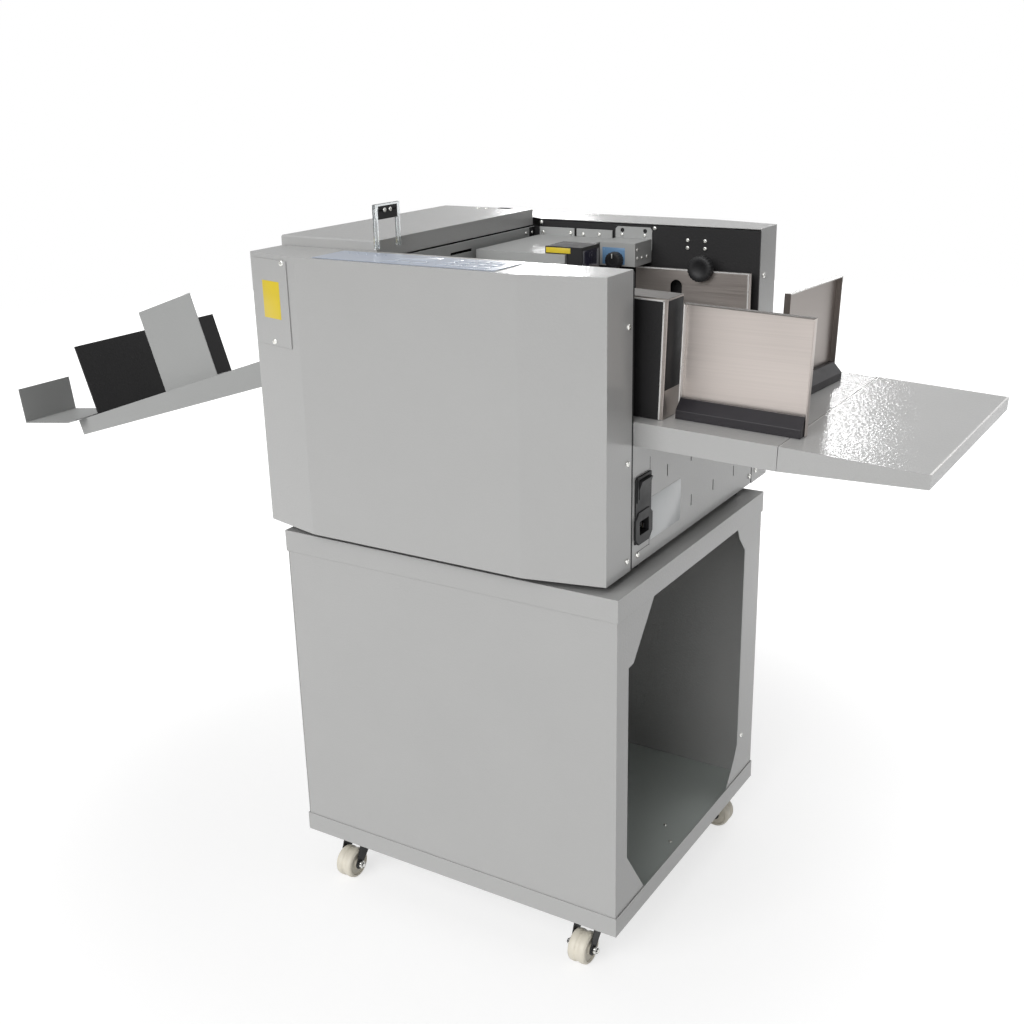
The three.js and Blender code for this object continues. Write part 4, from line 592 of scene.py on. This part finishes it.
def set_screws(name, places, radius, body="machine", finish="zinc"):
    """Screws where lines from places meet CAD nodes: (node, place, direction) each."""
    pattern = screw_head(radius)
    form = bmesh.new()
    for index, (node, start, direction) in enumerate(places):
        spot = land(node, start, direction)
        before = set(form.verts)
        form.from_mesh(pattern)
        fresh = [v for v in form.verts if v not in before]
        twist = Matrix.Rotation(SCREW_TWIST * index, 4, "Z")
        bmesh.ops.transform(form, matrix=Matrix.Translation(spot) @ toward(-direction) @ twist,
                            verts=fresh)
    bpy.data.meshes.remove(pattern)
    return crease(piece(name, form, finish, body))


def bend_edges(form, low, high, width, longest=0.0):
    """Rounds the edges whose faces meet at between two angles."""
    edges = [e for e in form.edges if len(e.link_faces) == 2 and e.calc_length() > longest
             and math.radians(low) < abs(e.calc_face_angle(0)) <= math.radians(high)]
    if edges:
        bmesh.ops.bevel(form, geom=edges, offset=width, offset_type="OFFSET", affect="EDGES",
                        segments=2, profile=0.5, material=-1, clamp_overlap=True)


def soften(node, finish, others=()):
    """A piece with its folds and cut edges rounded, in place of its plain solid. Faces
    that pass a test of their place in millimetres take that test's finish."""
    form = bmesh.new()
    form.from_mesh(NODES[node].data)
    bmesh.ops.remove_doubles(form, verts=form.verts, dist=1e-6)
    bmesh.ops.dissolve_limit(form, angle_limit=math.radians(FLAT), verts=form.verts,
                             edges=form.edges, use_dissolve_boundaries=False)
    bend_edges(form, SHALLOW_FOLD, STEEP_FOLD, sizes().bend, LONG_FOLD)
    bend_edges(form, STEEP_FOLD, 180, sizes().fold)
    bmesh.ops.triangulate(form, faces=form.faces)
    for index, (_, test) in enumerate(others):
        for face in form.faces:
            if test((face.calc_center_median() - at(0, 0, 0)) / MM):
                face.material_index = index + 1
    made = crease(piece(node + "_edges", form, finish, BODY_OF[node]), 50)
    for other, _ in others:
        made.data.materials.append(finishes()[other])
    made.modifiers.new("Even faces", "WEIGHTED_NORMAL").keep_sharp = True
    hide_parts(node)
    return made


# Operators
class CREASER_OT_studio(bpy.types.Operator):
    """Sets the camera, the pale floor, the world and the soft lights."""
    bl_idname = "creaser.studio"
    bl_label = "Studio"

    def execute(self, context):
        scene = context.scene
        scene.view_settings.view_transform = "Standard"
        heading = math.radians(CAMERA_HEADING)
        tilt = math.radians(CAMERA_TILT)
        roll = math.radians(CAMERA_ROLL)
        across = Vector((math.cos(heading), math.sin(heading), 0))
        ahead = Vector((-math.sin(heading) * math.cos(tilt), math.cos(heading) * math.cos(tilt),
                        -math.sin(tilt)))
        below = ahead.cross(across)
        right = across * math.cos(roll) + below * math.sin(roll)
        down = below * math.cos(roll) - across * math.sin(roll)
        turn = Matrix((right, -down, -ahead)).transposed().to_4x4()
        eye = bpy.data.objects.new("camera", bpy.data.cameras.new("camera"))
        eye.data.sensor_width = CAMERA_SENSOR
        eye.data.lens = CAMERA_LENS
        eye.data.clip_start = CAMERA_NEAR
        eye.matrix_world = Matrix.Translation(at(*CAMERA_SPOT)) @ turn
        scene.collection.objects.link(eye)
        scene.camera = eye
        self.light_room(scene)
        self.lay_floor(scene)
        return {"FINISHED"}

    def light_room(self, scene):
        """A dim even room that the camera sees as white and metal sees as uneven walls."""
        world = bpy.data.worlds.new("studio")
        scene.world = world
        world.use_nodes = True
        tree = world.node_tree
        tree.nodes.clear()
        path = add(tree, "LightPath")
        seen = add(tree, "Math", links={0: path.outputs["Is Camera Ray"],
                                        1: path.outputs["Is Transmission Ray"]},
                   operation="MAXIMUM")
        soft = add(tree, "Background", {"Color": (1, 1, 1, 1), "Strength": ROOM_LIGHT})
        white = add(tree, "Background", {"Color": (1, 1, 1, 1), "Strength": 1.0})
        around = add(tree, "TexCoord").outputs["Generated"]
        walls = add(tree, "TexNoise", {"Scale": WALLS_SCALE, "Detail": 1}, {"Vector": around})
        level = add(tree, "MapRange", {"From Min": WALLS_CONTRAST[0],
                                       "From Max": WALLS_CONTRAST[1], "To Min": WALLS_LOW,
                                       "To Max": WALLS_HIGH}, {"Value": walls.outputs["Fac"]})
        room = add(tree, "Background", {"Color": (1, 1, 1, 1)},
                   {"Strength": level.outputs["Result"]})
        mirrored = add(tree, "MixShader", links={0: path.outputs["Is Glossy Ray"],
                                                 1: soft.outputs["Background"],
                                                 2: room.outputs["Background"]})
        mixed = add(tree, "MixShader", links={0: seen.outputs["Value"],
                                              1: mirrored.outputs["Shader"],
                                              2: white.outputs["Background"]})
        add(tree, "OutputWorld", links={"Surface": mixed.outputs["Shader"]})
        for name, direction, strength, spread in LAMPS:
            lamp = bpy.data.lights.new(name, "SUN")
            lamp.energy = strength
            lamp.angle = math.radians(spread)
            holder = bpy.data.objects.new(name, lamp)
            holder.matrix_world = toward(Vector(direction))
            scene.collection.objects.link(holder)

    def lay_floor(self, scene):
        """A round matt floor with a soft shadow, which fades to white away from it."""
        form = bmesh.new()
        bmesh.ops.create_circle(form, cap_ends=True, segments=64, radius=FLOOR_RADIUS)
        mesh = bpy.data.meshes.new("studio_floor")
        form.to_mesh(mesh)
        form.free()
        floor = bpy.data.objects.new("studio_floor", mesh)
        scene.collection.objects.link(floor)
        made, tree, place, shader = blank("studio floor matt white")
        shader.inputs["Base Color"].default_value = colours().floor
        shader.inputs["Roughness"].default_value = 0.9
        shader.inputs["Specular IOR Level"].default_value = 0.1
        far = add(tree, "VectorMath", links={0: place}, operation="LENGTH")
        edge = add(tree, "MapRange", {"From Min": SHADOW_REACH, "From Max": GLOW_REACH,
                                      "To Min": GLOW_NEAR, "To Max": 1.0},
                   {"Value": far.outputs["Value"]}, interpolation_type="SMOOTHSTEP")
        path = add(tree, "LightPath")
        seen = add(tree, "Math", links={0: path.outputs["Is Camera Ray"],
                                        1: path.outputs["Is Glossy Ray"]}, operation="MAXIMUM")
        share = add(tree, "Math", links={0: edge.outputs["Result"], 1: seen.outputs["Value"]},
                    operation="MULTIPLY")
        glow = add(tree, "Emission", {"Color": (1, 1, 1, 1), "Strength": FLOOR_GLOW})
        mixed = add(tree, "MixShader", links={0: share.outputs["Value"],
                                              1: shader.outputs["BSDF"],
                                              2: glow.outputs["Emission"]})
        output = next(n for n in tree.nodes if n.type == "OUTPUT_MATERIAL")
        tree.links.new(mixed.outputs["Shader"], output.inputs["Surface"])
        mesh.materials.append(made)


class CREASER_OT_node_finishes(bpy.types.Operator):
    """Gives every solid its finish."""
    bl_idname = "creaser.node_finishes"
    bl_label = "Finishes of the solids"

    def execute(self, context):
        for finish, nodes in NODE_FINISH.items():
            for node in nodes:
                slots = NODES[node].data.materials
                slots.clear()
                slots.append(finishes()[finish])
        return {"FINISHED"}


class CREASER_OT_screws(bpy.types.Operator):
    """Sets the screws that hold covers, panels and brackets."""
    bl_idname = "creaser.screws"
    bl_label = "Screws"

    def execute(self, context):
        big, small = sizes().screw, sizes().small_screw
        set_screws("cover_screws", [
            ("front_cover", (650, 68, 961), LEFT), ("front_cover", (650, 68, 778), LEFT),
            ("front_cover", (650, 68, 639), LEFT), ("rear_cover", (650, 535, 960), LEFT),
            ("rear_cover", (650, 535, 760), LEFT), ("rear_cover", (650, 535, 640), LEFT),
            ("right_end_panel", (650, 99.6, 638), LEFT),
            ("right_end_panel", (650, 508.5, 637), LEFT),
        ], big)
        set_screws("access_screws", [
            ("access_panel", (46, -80, 1023), BACK), ("access_panel", (16, -80, 907), BACK),
        ], big)
        set_screws("cabinet_screws", [
            ("cabinet_rear_panel", (650, 466, 187), LEFT),
        ], big)
        set_screws("frame_screws", [
            ("rear_frame_plate", spot, BACK)
            for spot in ((431, 480, 998), (431, 480, 1010), (461, 480, 998), (461, 480, 1010),
                         (162, 515, 1027), (373, 480, 1026))
        ], small)
        set_screws("wall_screws", [
            ("unit_wall", (200, 487, 1011), LEFT), ("unit_wall", (200, 507, 1010.5), LEFT),
        ], sizes().tiny_screw)
        set_screws("head_screws", [
            ("feed_head", (x, 420, z), BACK)
            for x, z in ((167, 1011), (220, 1012), (244, 1011), (274, 1012))
        ], small)
        set_screws("control_screws", [
            ("control_box", (450, 463, 998), LEFT), ("control_box", (450, 464, 985), LEFT),
            ("control_box", (450, 480, 984), LEFT), ("control_box", (450, 498, 984), LEFT),
            ("control_box", (315, 440, 1014), BACK), ("control_box", (356, 440, 1014), BACK),
        ], sizes().tiny_screw)
        set_screws("lid_screws", [
            ("lid", (48, 495, 1100), DOWN), ("lid", (65, 495, 1100), DOWN),
        ], small, "lid")
        set_screws("grip_screws", [
            ("handle_block", (200, 97, 1089.5), LEFT), ("handle_block", (200, 110, 1089.5), LEFT),
        ], small, "lid")
        set_screws("ledge_screws", [
            ("cabinet_base", (512, 300, 113), DOWN), ("cabinet_base", (540, 260, 113), DOWN),
        ], small)
        return {"FINISHED"}


class CREASER_OT_labels(bpy.types.Operator):
    """Lays the plain labels, the bare rating plate and the painted shade of the inlet panel's seams.
    """
    bl_idname = "creaser.labels"
    bl_label = "Labels and plates"

    def execute(self, context):
        face = (land("right_end_panel", (650, 190, 660), LEFT).x - CORNER.x) / MM
        block_piece("rating_plate_bare", (face, 141, 647), (face + 0.25, 240, 710), 0.1, "plate")
        # Thin black strips on the inlet panel's seam and lip: painted shade of their gaps
        block_piece("inlet_panel_seam_shade", (face, 136.5, 640), (face + 0.12, 137.6, 770), 0.04,
                    "black")
        block_piece("inlet_panel_lip_shade", (face, 98, 641.6), (face + 0.12, 136.5, 642.4), 0.04,
                    "black")
        facet = slope(-31, 9, 0, COVER_SLANT, "Z")
        block_piece("access_label_plain", (28, -2.0, 941), (69, -1.78, 995), 0.08, "label",
                    where=facet)
        block_piece("display_label_plain", (284.5, 319.75, 1008.6), (327, 320.05, 1016.6), 0.08,
                    "label")
        return {"FINISHED"}


class CREASER_OT_controls(bpy.types.Operator):
    """Fits the membrane keys, the display window, the dial plate and the pointer."""
    bl_idname = "creaser.controls"
    bl_label = "Controls"

    def execute(self, context):
        top = land("control_panel", (250, 20, 1100), DOWN).z / MM
        keys = bmesh.new()
        grid = [(300 + 22 * column, 2 + 18 * row, 16) for column in range(4) for row in range(3)]
        for x, y, wide in grid + [(214 + 24 * column, 6, 18) for column in range(3)]:
            add_block(keys, (x, y, top - 0.1), (x + wide, y + 12, top + 0.5), 0.35)
        crease(piece("membrane_keys", keys, "key", "machine"))
        block_piece("counter_window", (212, 28, top - 0.1), (280, 54, top + 0.3), 0.15, "key")
        lamps = bmesh.new()
        for i in range(5):
            add_turned(lamps, [(0, 0), (1.8, 0), (1.6, 0.5), (0.9, 0.8), (0, 0.9)],
                       (122 + 16 * i, 46, top), UP, 16)
        crease(piece("status_lamps", lamps, "key", "machine"))
        block_piece("display_window", (346.95, 323, 966), (347.25, 373, 1013), 0.1, "window")
        block_piece("dial_plate", (310, 455.4, 974.5), (350, 455.75, 1001), 0.1, "dial")
        block_piece("knob_pointer", (334.2, 439.2, 986), (335.8, 439.6, 993.5), 0.1, "mark",
                    "speed_knob")
        return {"FINISHED"}


class CREASER_OT_folds(bpy.types.Operator):
    """Lays the painted highlight on the folds of the guides and leaves, the painted shade of the
    tray's slots and small pads.
    """
    bl_idname = "creaser.folds"
    bl_label = "Folds and pads"

    def execute(self, context):
        self.guide_rims()
        self.extension_edges()
        self.tray_slot_shade_strips()
        block_piece("handle_pad", (148.95, 83.5, 1088), (149.9, 127.5, 1095.6), 0.3, "moulding",
                    "lid")
        block_piece("shelf_flange", (3.5, 8, 109), (13, 512, 122), 1.0, "body")
        block_piece("unit_wall_clip", (148.1, 498, 1002), (148.6, 515.5, 1019.4), 0.2, "black")
        return {"FINISHED"}

    def guide_rims(self):
        """Strips of painted highlight on the folded rims of the inner and rear guides, and the inner
        guide's pad.
        """
        rims = bmesh.new()
        low, high = local_box("inner_guide_face", TABLE)
        add_block(rims, (low.x, low.y - 0.1, high.z), (high.x + 2, low.y + 1.4, high.z + 2), 0.2,
                  1, TABLE)
        add_block(rims, (high.x, low.y - 0.1, low.z), (high.x + 2, low.y + 1.4, high.z + 2), 0.2,
                  1, TABLE)
        crease(piece("inner_guide_rim_highlight", rims, "bright", "inner_guide"))
        low, high = local_box("inner_guide", TABLE)
        block_piece("inner_guide_end_pad", (high.x, low.y + 2, high.z - 122),
                    (high.x + 0.5, high.y - 1, high.z - 3), 0.1, "moulding",
                    "inner_guide", TABLE)
        folds = bmesh.new()
        # Strips of painted highlight along the rear guide's top and right folds
        add_block(folds, (350, 494.6, 965.2), (546, 495.4, 967.2), 0.2, 1)
        add_block(folds, (542.6, 494.6, 834), (545, 495.2, 965.2), 0.2, 1)
        crease(piece("rear_guide_fold_highlights", folds, "bright", "rear_guide"))

    def extension_edges(self):
        """Painted highlight along the edges at the table extension's two ends."""
        low, high = local_box("table_extension", LEAF)
        edges = bmesh.new()
        add_block(edges, (high.x - 2.6, low.y, high.z - 0.05), (high.x, high.y, high.z + 0.15),
                  0.05, 1, LEAF)
        add_block(edges, (low.x, low.y, high.z - 0.05), (low.x + 1.4, high.y, high.z + 0.15),
                  0.05, 1, LEAF)
        crease(piece("extension_bright_edges", edges, "bright", "machine"))

    def tray_slot_shade_strips(self):
        """Two thin black strips along the slots that the delivery tray's stops slide along: painted
        shade, not cut.
        """
        slots = bmesh.new()
        for left, right in ((-538, -306), (-262, -142)):
            a, b = [TRAY.inverted() @ land("delivery_tray", (x, y, 1100), DOWN) / MM
                    for x, y in ((left, 86), (right, 91.4))]
            add_block(slots, (a.x, a.y, b.z - 0.05), (b.x, b.y, b.z + 0.12), 0.04, 1, TRAY)
        crease(piece("tray_slot_shade_strips", slots, "black", "machine"))


class CREASER_OT_castors(bpy.types.Operator):
    """Makes the smooth castor wheels and the nuts on their bolts."""
    bl_idname = "creaser.castors"
    bl_label = "Castors"

    def execute(self, context):
        axle, bolt_end = 25, 18
        half = [(4.4, -15), (9, -15), (10.2, -12.6), (18.5, -12.6), (20, -15), (22.2, -14.6),
                (24.1, -12.8), (24.9, -10), (25, -7), (24.8, -4.4), (24.2, -2.8), (23.5, -2)]
        tread = half + [(r, -h) for r, h in reversed(half)]
        nut = [(4.2, 0), (6.9, 0), (6.9, 4.6), (6.2, 5.2), (4.2, 5.2), (4.2, 7.6), (3.4, 8.3),
               (0, 8.3)]
        for corner, x, y, axis in (("front_left", 67, 23, RIGHT), ("front_right", 508, 23, RIGHT),
                                   ("rear_left", 94, 470, BACK), ("rear_right", 535, 470, BACK)):
            form = bmesh.new()
            add_turned(form, tread, (x, y, axle), axis)
            wheel = crease(piece("wheel_" + corner + "_round", form, "tread", "wheel_" + corner), 40)
            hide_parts("castor_wheel_" + corner)
            form = bmesh.new()
            for side in (-1, 1):
                spot = Vector((x, y, axle)) + axis * side * bolt_end
                add_turned(form, [(0, 0)] + nut, spot, axis * side, 6)
            piece("castor_nuts_" + corner, form, "zinc", "castor_" + corner)
        return {"FINISHED"}


class CREASER_OT_knobs(bpy.types.Operator):
    """Makes the fluted knobs with rounded rims."""
    bl_idname = "creaser.knobs"
    bl_label = "Knobs"

    def execute(self, context):
        self.knob("clamp_knob", (466, 494.7, 971), radius=20.5, length=13, flutes=24, depth=0.8,
                  stem=4, reach=17.3)
        self.knob("speed_knob", (335, 454.5, 982), radius=13.5, length=15, flutes=18, depth=0.6,
                  stem=3, reach=9)
        return {"FINISHED"}

    def knob(self, node, back, radius, length, flutes, depth, stem, reach):
        """A knob whose grip is waved, with a dished cap and the stem behind it. Its profile
        is in shares of the radius and of the length."""
        form = bmesh.new()
        steps = flutes * 6
        profile = [(0.94, 0), (1.0, 0.06), (1.0, 0.86), (0.95, 0.95), (0.86, 1.0),
                   (0.5, 0.985), (0.45, 0.93)]
        turn = Matrix.Translation(at(*back)) @ toward(FRONT)
        rings = []
        for share, rise in profile:
            ring = []
            for i in range(steps):
                angle = 2 * math.pi * i / steps
                wave = depth * (0.5 - 0.5 * math.cos(flutes * angle)) if share > 0.9 else 0
                r = (radius * share - wave) * MM
                ring.append(form.verts.new(turn @ Vector((r * math.cos(angle),
                                                          r * math.sin(angle),
                                                          rise * length * MM))))
            rings.append(ring)
        for low, high in zip(rings, rings[1:]):
            for i in range(steps):
                j = (i + 1) % steps
                form.faces.new((low[i], low[j], high[j], high[i]))
        form.faces.new(list(reversed(rings[0])))
        form.faces.new(rings[-1])
        add_turned(form, [(0, -0.2), (stem, -0.2), (stem, reach), (0, reach)], back, BACK, 24)
        made = crease(piece(node + "_grip", form, "moulding", node), 40)
        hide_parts(node)


class CREASER_OT_insides(bpy.types.Operator):
    """Fits what shows under the lid: bearings, a liner, wires and the blade beam."""
    bl_idname = "creaser.insides"
    bl_label = "Insides"

    def execute(self, context):
        low, high, cam = 858.3, 882.8, 960      # heights of the rollers' and the cam's shafts
        rings = bmesh.new()
        for x, z, r in ((118, low, 5), (118, high, 5), (-6, low, 5), (-6, high, 5),
                        (60, cam, 8), (385, 802.5, 8)):
            bore = r + 0.4
            ring = [(bore, 0), (r + 6, 0), (r + 6, 2.4), (r + 5.2, 3.2), (bore + 1, 3.2),
                    (bore, 2.6)]
            add_turned(rings, ring, (x, 84.05, z), BACK, 32)
            add_turned(rings, ring, (x, 515.95, z), FRONT, 32)
        crease(piece("shaft_bearings", rings, "zinc", "machine"))
        block_piece("beam_guide_liner", (44, 84.2, 902), (76, 84.9, 948), 0.2, "brass")
        self.wires()
        self.beam()
        return {"FINISHED"}

    def wires(self):
        """A loom under the lid, and the motors' and the blower's wires to the inlet."""
        wires = bmesh.new()
        add_tube(wires, [(108, 160, 960), (112, 190, 958), (132, 215, 940), (136, 330, 925),
                         (134, 470, 930), (120, 505, 915)], 2.4)
        add_tube(wires, [(60, 436, 730), (60, 420, 738), (90, 380, 700), (200, 360, 650),
                         (330, 330, 640), (500, 150, 640), (520, 116, 660)], 2.6)
        add_tube(wires, [(400, 372, 704), (400, 390, 712), (430, 400, 690), (500, 300, 645),
                         (520, 116, 720)], 2.2)
        crease(piece("wire_looms", wires, "wire", "machine"))

    def beam(self):
        """The blade beam, with its blade a little short of the paper bed's ends."""
        beam = soften("blade_beam", "steel")
        low = min(vertex.co.z for vertex in beam.data.vertices)
        for vertex in beam.data.vertices:
            if vertex.co.z < low + BLADE_TIP:
                vertex.co.y -= math.copysign(BLADE_RELIEF, vertex.co.y)


class CREASER_OT_edges(bpy.types.Operator):
    """Rounds the folds and cut edges of the sheet-metal pieces."""
    bl_idname = "creaser.edges"
    bl_label = "Rounded edges"

    def execute(self, context):
        finish_of = {node: finish for finish, nodes in NODE_FINISH.items() for node in nodes}
        # The feet, the castor plates, the cabinet's floor, the guides' top edges, the side
        # guide's left flange, the tail stop's top edge and the inlet's pins differ from the rest of
        # their piece. The floor is grey green paint made lighter as painted light, the guides'
        # darker tops are painted shade, and the flange and the top edge take a painted highlight
        other = {
            "base_pan": (("rubber", lambda p: p.z < 622.9),),
            "cabinet_base": (("zinc", lambda p: p.z < 79.9),
                             ("shelf", lambda p: 8 < p.x < 567 and 8 < p.y < 512
                              and 80 < p.z < 110)),
            "inner_guide": (("shaded_stainless", lambda p: p.z > 978),),
            "side_guide_plate": (("shaded_stainless", lambda p: p.z > 975),
                                 ("bright", lambda p: p.x < 598 and p.y < 149.2)),
            "tail_stop_plate": (("bright", lambda p: p.z > 977),),
            "power_inlet": (("brass", lambda p: 534 < p.x < 551 and abs(p.z - 676.5) < 5.5
                             and min(abs(p.y - 114.8 - k) for k in (-7, 0, 7)) < 1.3),),
        }
        for node in SOFT:
            soften(node, finish_of[node], other.get(node, ()))
        # A thin black strip where the lid's hinge slot is: painted shade
        block_piece("lid_hinge_slot_shade", (80, 507, 1047.3), (105, 517.6, 1047.9), 0.2, "black",
                    "lid")
        return {"FINISHED"}


OPERATORS = [CREASER_OT_studio, CREASER_OT_node_finishes, CREASER_OT_screws, CREASER_OT_labels,
             CREASER_OT_controls, CREASER_OT_folds, CREASER_OT_castors, CREASER_OT_knobs,
             CREASER_OT_insides, CREASER_OT_edges]


class CREASER_PT_panel(bpy.types.Panel):
    """Lists the machine's operators in the 3D view's sidebar."""
    bl_label = "Paper creasing machine"
    bl_idname = "CREASER_PT_panel"
    bl_space_type = "VIEW_3D"
    bl_region_type = "UI"
    bl_category = "Creaser"

    def draw(self, context):
        for operator in OPERATORS:
            self.layout.operator(operator.bl_idname)


CLASSES = [CreaserColours, CreaserSizes, *OPERATORS, CREASER_PT_panel]


def register():
    for known in CLASSES:
        bpy.utils.register_class(known)
    bpy.types.Scene.creaser_colours = PointerProperty(type=CreaserColours)
    bpy.types.Scene.creaser_sizes = PointerProperty(type=CreaserSizes)


def unregister():
    del bpy.types.Scene.creaser_colours
    del bpy.types.Scene.creaser_sizes
    for known in reversed(CLASSES):
        bpy.utils.unregister_class(known)


def main():
    """Makes the whole picture."""
    register()
    for operator in OPERATORS:
        group, name = operator.bl_idname.split(".")
        getattr(getattr(bpy.ops, group), name)()


if __name__ == "__main__":
    main()
